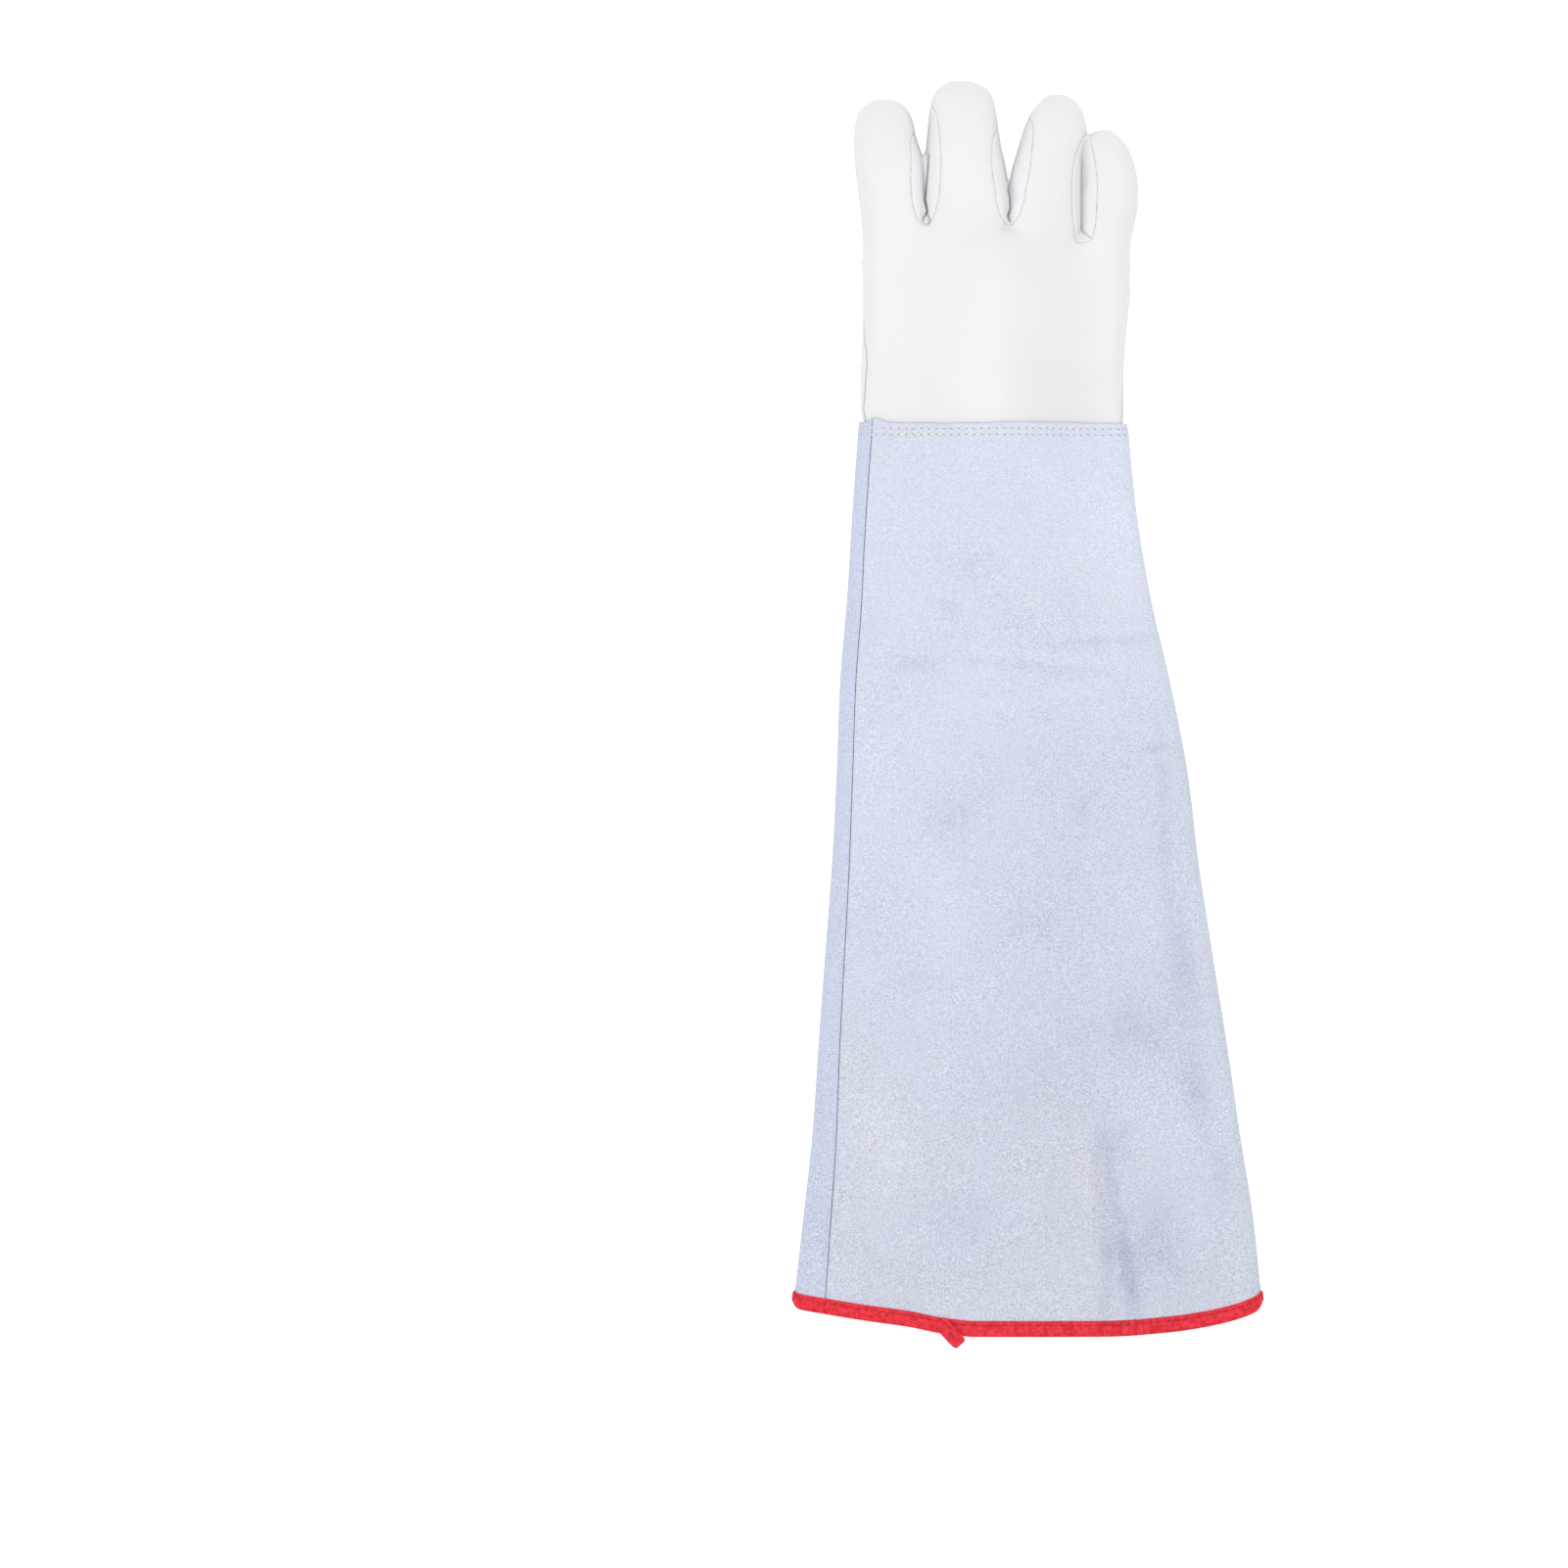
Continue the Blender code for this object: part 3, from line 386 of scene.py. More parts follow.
def suede_material(name, bright, grey):
    """Pale lavender-blue split suede: a short nap over a pebbled flesh side, greyer towards the mouth."""
    material, tree, shader, place = new_material(name, 0.92, 0.15)
    along = add_node(tree, "ShaderNodeSeparateXYZ", Vector=place).outputs["Y"]
    down = mapped(tree, along, 0.16, -0.30)
    tone = maths(tree, "MULTIPLY_ADD", noise(tree, place, 16.0, 5.0, 0.6), 1.5, down)
    base = ramp(tree, mapped(tree, tone, 0.45, 2.05), (0.0, bright), (1.0, grey))
    # The nap lies in soft pebbles about a millimetre across, with finer fibres on them
    pebble, fibre = (noise(tree, place, scale, 2.0, 0.6) for scale in (900.0, 1500.0))
    grain = maths(tree, "MULTIPLY_ADD", fibre, 0.55, pebble)
    # It is rougher in patches, and longer towards the mouth
    depth = mapped(tree, noise(tree, place, 28.0), 0.3, 0.7, 0.66, 1.14)
    depth = maths(tree, "MULTIPLY", depth, mapped(tree, down, 0.0, 1.0, 0.62, 1.07))
    speck = maths(tree, "MULTIPLY_ADD", maths(tree, "SUBTRACT", grain, 0.775), depth, 1.0)
    # Small scuffs where the nap is rubbed off and the paler tan hide shows
    scuffs = mapped(tree, noise(tree, place, 55.0, 6.0, 0.75), 0.60, 0.74, 0.0, 0.55)
    colour = add_node(tree, "ShaderNodeMix", {"data_type": "RGBA"}, i0=scuffs, i6=base,
                      i7=(0.57, 0.56, 0.56, 1.0)).outputs[2]
    # Marks and the painted crease shade are deeper in their blue than the rest, and break up in the nap
    broken = mapped(tree, noise(tree, place, 120.0, 4.0, 0.7), 0.3, 0.7, 0.5, 1.5)
    tint = scaled(tree, (0.38, 0.32, 0.20), maths(tree, "MULTIPLY", attribute(tree, "wear_and_fold_shade"), broken))
    tint = maths(tree, "SUBTRACT", (1.0, 1.0, 1.0), tint, kind="ShaderNodeVectorMath")
    colour = maths(tree, "MULTIPLY", colour, tint, kind="ShaderNodeVectorMath")
    # Painted shade darkens the suede where it stands on edge
    dressed(tree, shader, scaled(tree, colour, speck, painted_edge_shade_of(tree, 30.0, 0.32)), grain, 0.5, 0.0006)
    shader.inputs["Sheen Weight"].default_value = 0.10
    shader.inputs["Sheen Roughness"].default_value = 0.5
    return material


suede = suede_material("pale_blue_suede", (0.578, 0.614, 0.726), (0.480, 0.504, 0.578))
suede_strip = suede_material("deeper_blue_suede", (0.500, 0.545, 0.680), (0.475, 0.510, 0.620))
rows_along = np.concatenate((np.linspace(0, 0.03, 12), np.linspace(0.03, 0.97, 170),
                             np.linspace(0.97, 1, 10)))
back_rows, front_rows = gauntlet_chains(np.unique(rows_along))
back_wear_and_fold_shade = marks_and_fold_shade(back_rows[..., 0], back_rows[..., 1])
# Underneath, the marks and painted shade lie the other way round and a little lower
front_wear_and_fold_shade = marks_and_fold_shade(-front_rows[..., 0], front_rows[..., 1] + 0.03)
for name, rows, wear_and_fold_shade, material, node in (
        ("gauntlet_upper_panel", back_rows, back_wear_and_fold_shade, suede, "gauntlet_back"),
        ("gauntlet_lower_panel", front_rows, front_wear_and_fold_shade, suede_strip, "gauntlet_palm")):
    mesh = grid_mesh(name, rows)
    mesh.attributes.new("wear_and_fold_shade", "FLOAT", "POINT").data.foreach_set("value", wear_and_fold_shade.ravel())
    mesh.flip_normals()
    panel = solidified(finished(name, mesh, material), SUEDE_WALL)
    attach(panel, "root")
    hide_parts(node)

# HEM BINDING
# A red woven cotton tape folded round the raw mouth of both panels and stitched through near its edge.


def tape_material():
    """Red cotton tape: fine ribs across its width, and a cloudy, slightly uneven dye."""
    material, tree, shader, place = new_material("red_woven_tape", 0.78, 0.22)
    cloth = add_node(tree, "ShaderNodeUVMap", {"uv_map": "cloth"}).outputs["UV"]
    bands = {"wave_type": "BANDS", "bands_direction": "X"}
    ribs = add_node(tree, "ShaderNodeTexWave", bands, Vector=cloth, Scale=330.0, Distortion=1.5, Detail=2.0)
    weave = maths(tree, "MULTIPLY_ADD", ribs.outputs["Fac"], 0.22, noise(tree, place, 380.0, 3.0, 0.6))
    colour = ramp(tree, weave, (0.40, (0.470, 0.008, 0.018)), (0.80, (0.790, 0.040, 0.060)))
    # The suede's fold runs down into it here, and draws it into short pleats, drawn only as lines of painted
    # shade in their creases
    pleats_at = 0.056
    across = add_node(tree, "ShaderNodeSeparateXYZ", Vector=place).outputs["X"]
    away = maths(tree, "ABSOLUTE", maths(tree, "SUBTRACT", across, pleats_at))
    here = mapped(tree, away, 0.008, 0.022, 0.26, 0.0)
    pleats = add_node(tree, "ShaderNodeTexWave", bands, Vector=place, Scale=78.0, Distortion=2.4, Detail=1.0,
                      Detail_Scale=1.4)
    painted_pleat_shade = maths(tree, "MULTIPLY", maths(tree, "POWER", pleats.outputs["Fac"], 6.0), here)
    # Painted shade also darkens the tape where it stands on edge
    colour = scaled(tree, colour, maths(tree, "SUBTRACT", 1.0, painted_pleat_shade), painted_edge_shade_of(tree, 40.0, 0.40))
    dressed(tree, shader, colour, weave, 0.45, 0.0004)
    return material


tape = tape_material()
# Height above the hem's edge and distance out from the suede's face, round the outside of the fold and back
# up its inside, in millimetres
TAPE_SECTION = (
    (7.50, 0.25), (7.62, 0.40), (7.56, 0.62), (7.30, 0.80), (6.80, 0.88), (6.20, 0.84), (5.70, 0.72),
    (5.20, 0.68), (4.80, 0.72), (4.30, 0.84), (3.80, 0.90), (3.00, 0.92), (2.20, 0.92), (1.00, 0.90),
    (0.20, 0.82), (-0.35, 0.60), (-0.75, 0.20), (-0.95, -0.20), (-1.05, -1.00), (-0.95, -1.80),
    (-0.75, -2.40), (-0.35, -2.85), (0.20, -3.10), (1.00, -3.18), (4.00, -3.20), (6.60, -3.16),
    (7.10, -3.08), (7.36, -2.85), (7.42, -2.50), (7.30, -2.25), (4.00, -2.30), (0.00, -2.30), (-0.30, -1.00),
    (0.00, 0.28), (4.00, 0.28), (7.30, 0.25),
)
# Points across the top and under the glove, where a piece follows the gauntlet closely
CLOSE_STEPS = 230, 210
loops = []
for above, out in TAPE_SECTION:
    share = 1 - max(above, 0.0) * MM / GAUNTLET_LENGTH
    back, front = gauntlet_chains(share, -out * MM, max(-above, 0.0) * MM, *CLOSE_STEPS)
    loops.append(np.concatenate((back[0], front[0])))
loops = np.array(loops)
mesh = grid_mesh("hem_tape", loops, closed=True)
# The cloth's own measures: the travel round the mouth, and across the tape
OUTER_LOOP = 8
round_mouth, across_tape = (
    np.concatenate(((0.0,), np.cumsum(np.linalg.norm(np.diff(run, axis=0), axis=1))))
    for run in (loops[OUTER_LOOP, [*range(loops.shape[1]), 0]], np.array(TAPE_SECTION) * MM))
u, v = np.meshgrid(np.arange(loops.shape[1]), np.arange(loops.shape[0] - 1))
corners = np.stack((round_mouth[np.stack((u, u + 1, u + 1, u), axis=-1)],
                    across_tape[np.stack((v, v, v + 1, v + 1), axis=-1)]), axis=-1)
mesh.uv_layers.new(name="cloth").data.foreach_set("uv", corners.ravel())


def opened(mesh):
    """A mesh's shape, to be worked on."""
    shape = bmesh.new()
    shape.from_mesh(mesh)
    return shape


def kept(shape, mesh):
    """The mesh with the worked shape in it."""
    shape.to_mesh(mesh)
    shape.free()
    return mesh


shape = opened(mesh)
bmesh.ops.remove_doubles(shape, verts=shape.verts, dist=1e-6)
bmesh.ops.recalc_face_normals(shape, faces=shape.faces)
binding = finished("hem_tape", kept(shape, mesh), tape)
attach(binding, "root")
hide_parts("hem_binding")


def evaluated_mesh(made):
    graph = bpy.context.evaluated_depsgraph_get()
    graph.update()
    return bpy.data.meshes.new_from_object(made.evaluated_get(graph))


def seam_tree():
    """Lays one stitch after another along a path, each with a dark disc of painted shade at the two needle
    holes it comes out of.
    """
    tree = bpy.data.node_groups.new("run_of_stitches", "GeometryNodeTree")
    for label, kind in (("Path", "Geometry"), ("Pitch", "Float"), ("Length", "Float"), ("Thickness", "Float"),
                        ("Lift", "Float"), ("Slant", "Float"), ("Seed", "Int"), ("Thread", "Material"),
                        ("Hole", "Material")):
        tree.interface.new_socket(label, in_out="INPUT", socket_type="NodeSocket" + kind)
    tree.interface.new_socket("Stitches", in_out="OUTPUT", socket_type="NodeSocketGeometry")
    given = tree.nodes.new("NodeGroupInput").outputs
    result = tree.nodes.new("NodeGroupOutput").inputs

    def made(kind, props=(), **settings):
        return add_node(tree, kind, props, **settings).outputs[0]

    def times(label, factor):
        return maths(tree, "MULTIPLY", given[label], factor)

    def along(x, z):
        return made("ShaderNodeCombineXYZ", X=x, Z=z)

    # Each stitch stands off the surface and lies along the path, a little askew
    curve = made("GeometryNodeMeshToCurve", Mesh=given["Path"])
    points = made("GeometryNodeResampleCurve", {"mode": "LENGTH"}, Curve=curve, Length=given["Pitch"])
    facing = made("GeometryNodeInputNamedAttribute", {"data_type": "FLOAT_VECTOR"}, Name="facing")
    turned = made("FunctionNodeAlignRotationToVector", {"axis": "Z"}, Vector=facing)
    turned = made("FunctionNodeAlignRotationToVector", {"axis": "X", "pivot_axis": "Z"}, Rotation=turned,
                  Vector=made("GeometryNodeInputTangent"))
    stray = add_node(tree, "FunctionNodeRandomValue", Min=-0.07, Max=0.07, Seed=given["Seed"])
    angle = maths(tree, "ADD", given["Slant"], [o for o in stray.outputs if o.enabled][0])
    turned = made("FunctionNodeRotateRotation", {"rotation_space": "LOCAL"}, i0=turned,
                  i1=made("FunctionNodeEulerToRotation", i0=along(0.0, angle)))

    # It rises out of one hole and dips into the next
    deep = times("Thickness", -0.9)
    high = times("Lift", 1.5)
    start, rise, fall, end = (along(times("Length", share), level)
                              for share, level in ((-0.5, deep), (-0.36, high), (0.36, high), (0.5, deep)))
    line = made("GeometryNodeCurvePrimitiveBezierSegment", Resolution=6, Start=start, Start_Handle=rise,
                End_Handle=fall, End=end)
    ring = made("GeometryNodeCurvePrimitiveCircle", Resolution=6, Radius=times("Thickness", 0.5))
    thread = made("GeometryNodeCurveToMesh", i0=line, i1=ring, Fill_Caps=True)
    thread = made("GeometryNodeSetMaterial", Geometry=thread, Material=given["Thread"])
    joined = tree.nodes.new("GeometryNodeJoinGeometry")
    # Each needle hole is a flat dark disc of painted shade, laid just above the surface
    for side in (-0.53, 0.53):
        hole_shade_disc = made("GeometryNodeMeshCircle", {"fill_type": "NGON"}, Vertices=8,
                    Radius=times("Thickness", 0.48))
        hole_shade_disc = made("GeometryNodeTransform", Geometry=hole_shade_disc, Translation=along(times("Length", side), 0.00004))
        hole_shade_disc = made("GeometryNodeSetMaterial", Geometry=hole_shade_disc, Material=given["Hole"])
        tree.links.new(hole_shade_disc, joined.inputs[0])
    tree.links.new(thread, joined.inputs[0])
    placed = made("GeometryNodeInstanceOnPoints", Points=points, Instance=joined.outputs[0], Rotation=turned)
    tree.links.new(made("GeometryNodeRealizeInstances", i0=placed), result[0])
    return tree


stitching = seam_tree()


def stitched(name, places, facings, closed=False, **sizes):
    """A run of stitches along a path, as one plain mesh."""
    mesh = bpy.data.meshes.new(name + "_path")
    count = len(places)
    links = [(k, (k + 1) % count) for k in range(count if closed else count - 1)]
    mesh.from_pydata([tuple(map(float, place)) for place in places], links, [])
    mesh.attributes.new("facing", "FLOAT_VECTOR", "POINT").data.foreach_set("vector", np.ravel(facings))
    path = in_scene(name + "_path", mesh)
    run = path.modifiers.new("stitches", "NODES")
    run.node_group = stitching
    for item in stitching.interface.items_tree:
        if item.name in sizes:
            run[item.identifier] = sizes[item.name]
    result = evaluated_mesh(path)
    bpy.data.objects.remove(path)
    result.name = name
    # Under the glove the thread is pressed into the suede
    for vert in result.vertices:
        vert.co.z = max(vert.co.z, 0.00002)
    result.shade_smooth()
    made = in_scene(name, result)
    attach(made, "root")
    return made


def gauntlet_path(below, out, hem=False):
    """A closed path round the gauntlet, that far below its upper edge or above its hem, and out from it."""
    share = below / GAUNTLET_LENGTH
    share = np.array((share, share + 0.0015))
    if hem:
        share = 1 - share
    rows = [np.concatenate(pair) for pair in zip(*gauntlet_chains(share, -out, 0.0, *CLOSE_STEPS))]
    run = np.roll(rows[0], -1, axis=0) - np.roll(rows[0], 1, axis=0)
    down = rows[1] - rows[0]
    facing = np.cross(run, down) if hem else np.cross(down, run)
    return rows[0], facing / np.maximum(np.linalg.norm(facing, axis=1, keepdims=True), 1e-9)


def thread_material(name, colour, paler):
    """Waxed thread, its plies showing as slanting ridges, paler where the wax has rubbed off."""
    material, tree, shader, place = new_material(name, 0.6)
    plies = add_node(tree, "ShaderNodeTexWave", {"bands_direction": "DIAGONAL"}, Vector=place, Scale=900.0,
                     Distortion=0.5).outputs["Fac"]
    base = ramp(tree, noise(tree, place, 70.0), (0.42, paler), (0.60, colour))
    dressed(tree, shader, scaled(tree, base, mapped(tree, plies, 0.0, 1.0, 0.80, 1.05)), plies, 0.3, 0.0001)
    return material


def hole_shade_material(name, dark):
    """Painted shade of a needle hole: a flat dark disc laid on the hide or cloth where the hole is."""
    material, tree, shader, place = new_material(name, 0.95)
    base = ramp(tree, noise(tree, place, 1400.0, 1.0), (0.3, tuple(c * 0.7 for c in dark)), (0.7, dark))
    tree.links.new(base, shader.inputs["Base Color"])
    return material


red_thread = thread_material("dark_red_thread", (0.34, 0.007, 0.018), (0.48, 0.014, 0.030))
red_hole_shade = hole_shade_material("tape_needle_hole_shade", (0.20, 0.008, 0.015))
places, facings = gauntlet_path(0.0052, 0.00074, hem=True)
hem_stitches = stitched("hem_stitches", places, facings, True, Pitch=0.0045, Length=0.0027, Thickness=0.00062,
                        Lift=0.00020, Slant=0.10, Seed=3, Thread=red_thread, Hole=red_hole_shade)

# LOOSE TAPE END
# Where the tape meets itself at the back of the hem, its folded end runs on askew over the start of the
# binding, and hangs past the edge.
TAIL_TURN, RIB_TURN, TAIL_MIDDLE = math.radians(-47), math.radians(52), (-0.0424, -0.3345)
TAIL_LENGTH, TAIL_WIDTH, TAIL_THICKNESS, TAIL_OUT = 0.0175, 0.0081, 0.0019, 0.0009
TAIL_DROOP, DROOP_FROM = 0.0022, -0.3365


def tail_place(u, v, out=0.0):
    """The point that far along the tape's end and across it, and out from the gauntlet's face and tape."""
    x = TAIL_MIDDLE[0] + u * math.cos(TAIL_TURN) - v * math.sin(TAIL_TURN)
    y = TAIL_MIDDLE[1] + u * math.sin(TAIL_TURN) + v * math.cos(TAIL_TURN)
    share = min((WRIST_Y - y) / GAUNTLET_LENGTH, 1.0)
    top = CLOSE_STEPS[0]
    ring = gauntlet_chains(share, -TAIL_OUT, 0.0, top, 2)[0][0][:top]
    order = np.argsort(ring[:, 0])
    # Past the hem it hangs
    droop = TAIL_DROOP * float(smooth_step((DROOP_FROM - y) / 0.008))
    return x, y, float(np.interp(x, ring[order, 0], ring[order, 2])) + out - droop


def tail_mesh():
    """The folded end: two layers of tape with soft edges, its corners rounded, lying over the binding."""
    shape = bmesh.new()
    bmesh.ops.create_cube(shape, size=1.0)
    bmesh.ops.subdivide_edges(shape, edges=shape.edges, cuts=15, use_grid_fill=True)
    for vert in shape.verts:
        a, b, c = vert.co * 2
        # Round the corners seen from above, and thin the edges
        corner = 1 - 0.11 * (abs(a) * abs(b)) ** 5
        rim = max(max(abs(a), abs(b)) - 0.82, 0.0) / 0.18
        edge = math.sqrt(max(1 - rim ** 2 * 0.75, 0.0))
        u, v = a * corner * TAIL_LENGTH / 2, b * corner * TAIL_WIDTH / 2
        wave = 0.12 * math.sin(u * 1900 + v * 700) + 0.15 * math.sin(v * 2300)
        vert.co = tail_place(u, v, 0.1 * MM + (1 + c * edge) * TAIL_THICKNESS / 2 + wave * MM * (c > 0))
    bmesh.ops.recalc_face_normals(shape, faces=shape.faces)
    cloth = shape.loops.layers.uv.new("cloth")
    c, s = math.cos(RIB_TURN), math.sin(RIB_TURN)
    for face in shape.faces:
        for loop in face.loops:
            x, y, _ = loop.vert.co
            loop[cloth].uv = (x * c - y * s, x * s + y * c)
    return kept(shape, bpy.data.meshes.new("loose_tape_end"))


tail = finished("loose_tape_end", tail_mesh(), tape)
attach(tail, "root")
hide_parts("binding_tail")
# One line of stitches wanders along it
TAIL_STITCHES = (-0.0062, 0.0016), (-0.0030, 0.0024), (0.0002, 0.0006), (0.0026, -0.0008), (0.0050, 0.0010)
places = [tail_place(u, v, 0.0020) for u, v in TAIL_STITCHES]
tail_stitches = stitched("tape_end_stitches", places, [(0.0, 0.0, 1.0)] * 5, Pitch=0.0034, Length=0.0026,
                         Thickness=0.00055, Lift=0.00020, Slant=0.2, Seed=5, Thread=red_thread, Hole=red_hole_shade)

# HAND
# White grain leather: a back, a palm, and a strip down the facing sides of each pair of fingers, sewn inside
# out and turned. Its wrist reaches a little way inside the gauntlet.
HAND_LENGTH, PALM_LEFT, PALM_WIDTH = 0.1844, -0.09415, 0.1537
PALM_HEIGHT, FINGER_HEIGHT, FINGER_SINK, PALM_FOLD = 0.0240, 0.0220, 0.0012, 0.0088
LAP_LENGTH, LAP_GAP, LEATHER_WALL = 0.0120, 0.0004, 0.0016
PALM_MIDDLE, FINGER_ROOT_SLANT, SEAM_HEIGHT = PALM_LEFT + PALM_WIDTH / 2, 0.113, 0.0090
# Along the hand, left and right across the palm, floor, height and fold
PALM_ROWS = per_mille(
    (34, 24, 952, 40, 980, 640), (110, 22, 951, 0, 980, 820), (210, 28, 957, 0, 980, 1000),
    (316, 31, 968, 0, 1000, 1000), (420, 28, 978, 0, 1000, 1000), (500, 22, 985, 0, 940, 1000),
    (545, 26, 981, 40, 800, 1000), (575, 40, 966, 170, 580, 1000)
)
# Where each finger starts and ends along the hand, how far its two sides swell against the fingers beside it
# low down, and along it its left and right edges across the palm and its height
Finger = namedtuple("Finger", "root tip press rows")
FINGERS = (
    Finger(0.532, 0.945, (0.0, 0.0052), per_mille(
        (0, 22, 234, 700), (160, 14, 246, 860), (312, 9, 246, 960), (451, 6, 246, 1000),
        (575, 2, 241, 1000), (729, 1, 220, 970), (833, 6, 209, 890), (910, 18, 195, 750),
        (958, 40, 175, 570), (990, 68, 145, 340), (1000, 90, 120, 160))),
    Finger(0.517, 1.000, (0.0052, 0.0045), per_mille(
        (0, 267, 527, 720), (149, 253, 541, 880), (298, 252, 541, 970), (429, 252, 533, 1000),
        (565, 254, 521, 1000), (714, 260, 509, 970), (821, 266, 500, 890), (905, 280, 487, 750),
        (952, 298, 468, 580), (985, 325, 434, 370), (1000, 355, 399, 160))),
    Finger(0.517, 0.960, (0.0045, 0.0060), per_mille(
        (0, 560, 786, 720), (143, 549, 799, 880), (325, 549, 801, 970), (468, 558, 802, 1000),
        (584, 570, 806, 990), (733, 592, 821, 950), (857, 617, 811, 840), (929, 645, 794, 670),
        (974, 669, 766, 450), (1000, 698, 735, 180))),
    Finger(0.483, 0.856, (0.0060, 0.0), per_mille(
        (0, 820, 974, 700), (169, 808, 990, 840), (362, 808, 1001, 930), (554, 809, 1001, 950),
        (708, 808, 991, 920), (823, 807, 974, 830), (892, 808, 957, 710), (946, 815, 936, 540),
        (981, 846, 914, 350), (1000, 874, 900, 160))),
)
# The strip between two fingers, how far up its point is, and its two seams: how far each lies in from the
# facing edge, where it ends, and a power, which below one has it run straighter down to the point
Strip = namedtuple("Strip", "left_finger point seams")
STRIPS = (
    Strip(0, 0.576, ((0.046, 0.850, 1.0), (0.052, 0.932, 1.0))),
    Strip(1, 0.577, ((0.045, 0.860, 1.0), (0.058, 0.895, 1.0))),
    Strip(2, 0.528, ((0.034, 0.850, 1.0), (0.047, 0.856, 0.55))),
)
SEAM_ROWS = ((0.00, 0.10), (0.05, 0.42), (0.13, 0.68), (0.28, 0.92), (0.50, 1.00), (0.75, 0.78), (0.92, 0.42),
             (1.00, -0.12))
# The folds where two fingers press together, from the fingertips down, with painted shade along each. At each
# point: x, y, depth, and how far the leather slopes away on the thumb's side and on the other, all in
# millimetres
FOLDS = (
    ((-53.8, 302.6, 1.6, 2.6, 0.50), (-54.6, 292.0, 2.6, 2.2, 0.50), (-55.8, 278.0, 3.2, 0.6, 0.50),
     (-54.6, 271.9, 2.6, 0.5, 0.50), (-55.0, 270.2, 3.0, 0.7, 0.70)),
    # The small loop at its lower end
    tuple((x, y, depth, 0.45, 0.45) for x, y, depth in (
        (-55.0, 270.0, 1.6), (-56.7, 268.0, 1.4), (-57.1, 266.3, 1.2), (-56.3, 264.9, 0.9),
        (-55.2, 264.4, 0.8), (-54.0, 264.9, 1.0), (-53.0, 266.6, 1.2), (-53.8, 268.4, 1.4),
        (-55.0, 270.0, 1.6))),
    ((-10.1, 287.0, 1.6, 0.50, 1.6), (-10.6, 282.5, 2.4, 0.45, 2.8), (-9.8, 278.8, 2.4, 0.45, 2.6),
     (-9.8, 273.0, 2.2, 0.45, 0.8), (-10.9, 269.2, 2.2, 0.50, 0.5), (-9.8, 266.1, 1.4, 0.45, 0.5)),
    ((32.6, 312.0, 0.3, 0.50, 0.6), (31.2, 309.0, 0.6, 0.50, 0.6), (29.7, 303.6, 0.9, 0.40, 0.7),
     (29.2, 296.0, 1.5, 0.36, 0.9), (29.0, 280.0, 1.5, 0.36, 0.9), (29.0, 262.0, 1.6, 0.36, 0.9),
     (30.0, 260.4, 1.3, 0.45, 0.6), (34.0, 257.4, 0.7, 0.45, 0.5)),
    # Gathers where the strip is eased in, also with painted shade
    *(((29.3, 276.0 - 2.3 * k, 0.40, 0.35, 0.35), (32.4 - 0.2 * (k % 3), 275.2 - 2.3 * k, 0.10, 0.30, 0.30))
      for k in range(7)),
)


def fold_at(fold, x, y):
    """How deep a fold is at each place, and how much painted shade it gets: 1 along its line, fading out
    quickly beside it.
    """
    nearest = np.full_like(x, 1.0)
    deep, dark = np.zeros_like(x), np.zeros_like(x)
    for one, two in zip(fold, fold[1:]):
        one, two = np.array(one) * MM, np.array(two) * MM
        run = two[:2] - one[:2]
        t = np.clip(((x - one[0]) * run[0] + (y - one[1]) * run[1]) / (run @ run), 0.0, 1.0)
        dx, dy = x - one[0] - t * run[0], y - one[1] - t * run[1]
        away = np.hypot(dx, dy)
        depth, left, right = (one[k] + t * (two[k] - one[k]) for k in (2, 3, 4))
        slope = np.where(run[0] * dy - run[1] * dx < 0, left, right)
        closer = away < nearest
        nearest = np.where(closer, away, nearest)
        deep = np.where(closer, depth * np.exp(-(away / slope) ** 2), deep)
        painted_shade = np.minimum(depth / (2.4 * MM), 1.0) * np.exp(-(away / (0.45 * MM)) ** 2)
        dark = np.where(closer, painted_shade, dark)
    return deep, dark, nearest


def flattened_circle(power, count=72):
    """A circle's points, squarer as the power falls below one."""
    angle = 2 * math.pi * (np.arange(count) + 0.5) / count
    return [np.copysign(np.abs(wave) ** power, wave) for wave in (np.cos(angle), np.sin(angle))]


def finger_rings(finger):
    """One finger as a stack of rings, pressed flat where it lies on the floor."""
    # Read against the square root of the distance left to the tip, a round tip is a straight line
    rows = [(-math.sqrt(1 - row[0]), *row[1:]) for row in finger.rows]
    places = -np.linspace(1, 0, 110)
    left, right, height = smooth_rows(rows, places)
    # Low in each gap the two fingers press against each other
    lower_part = smooth_step((-places - 0.62) / 0.10)
    left, right = left - finger.press[0] * lower_part, right + finger.press[1] * lower_part
    across, upwards = flattened_circle(2 / 2.9)
    length = (finger.tip - finger.root) * HAND_LENGTH
    x = PALM_LEFT + (((left + right) / 2)[:, None] + np.outer((right - left) / 2, across)) * PALM_WIDTH
    y = WRIST_Y + finger.root * HAND_LENGTH + (1 - places ** 2) * length
    y = np.broadcast_to(y[:, None], x.shape)
    z = np.maximum(FINGER_HEIGHT / 2 - FINGER_SINK + np.outer(height, upwards) * FINGER_HEIGHT / 2, 0.0)
    return np.stack((x, y, z + thumb_lift(x, y)), axis=-1)


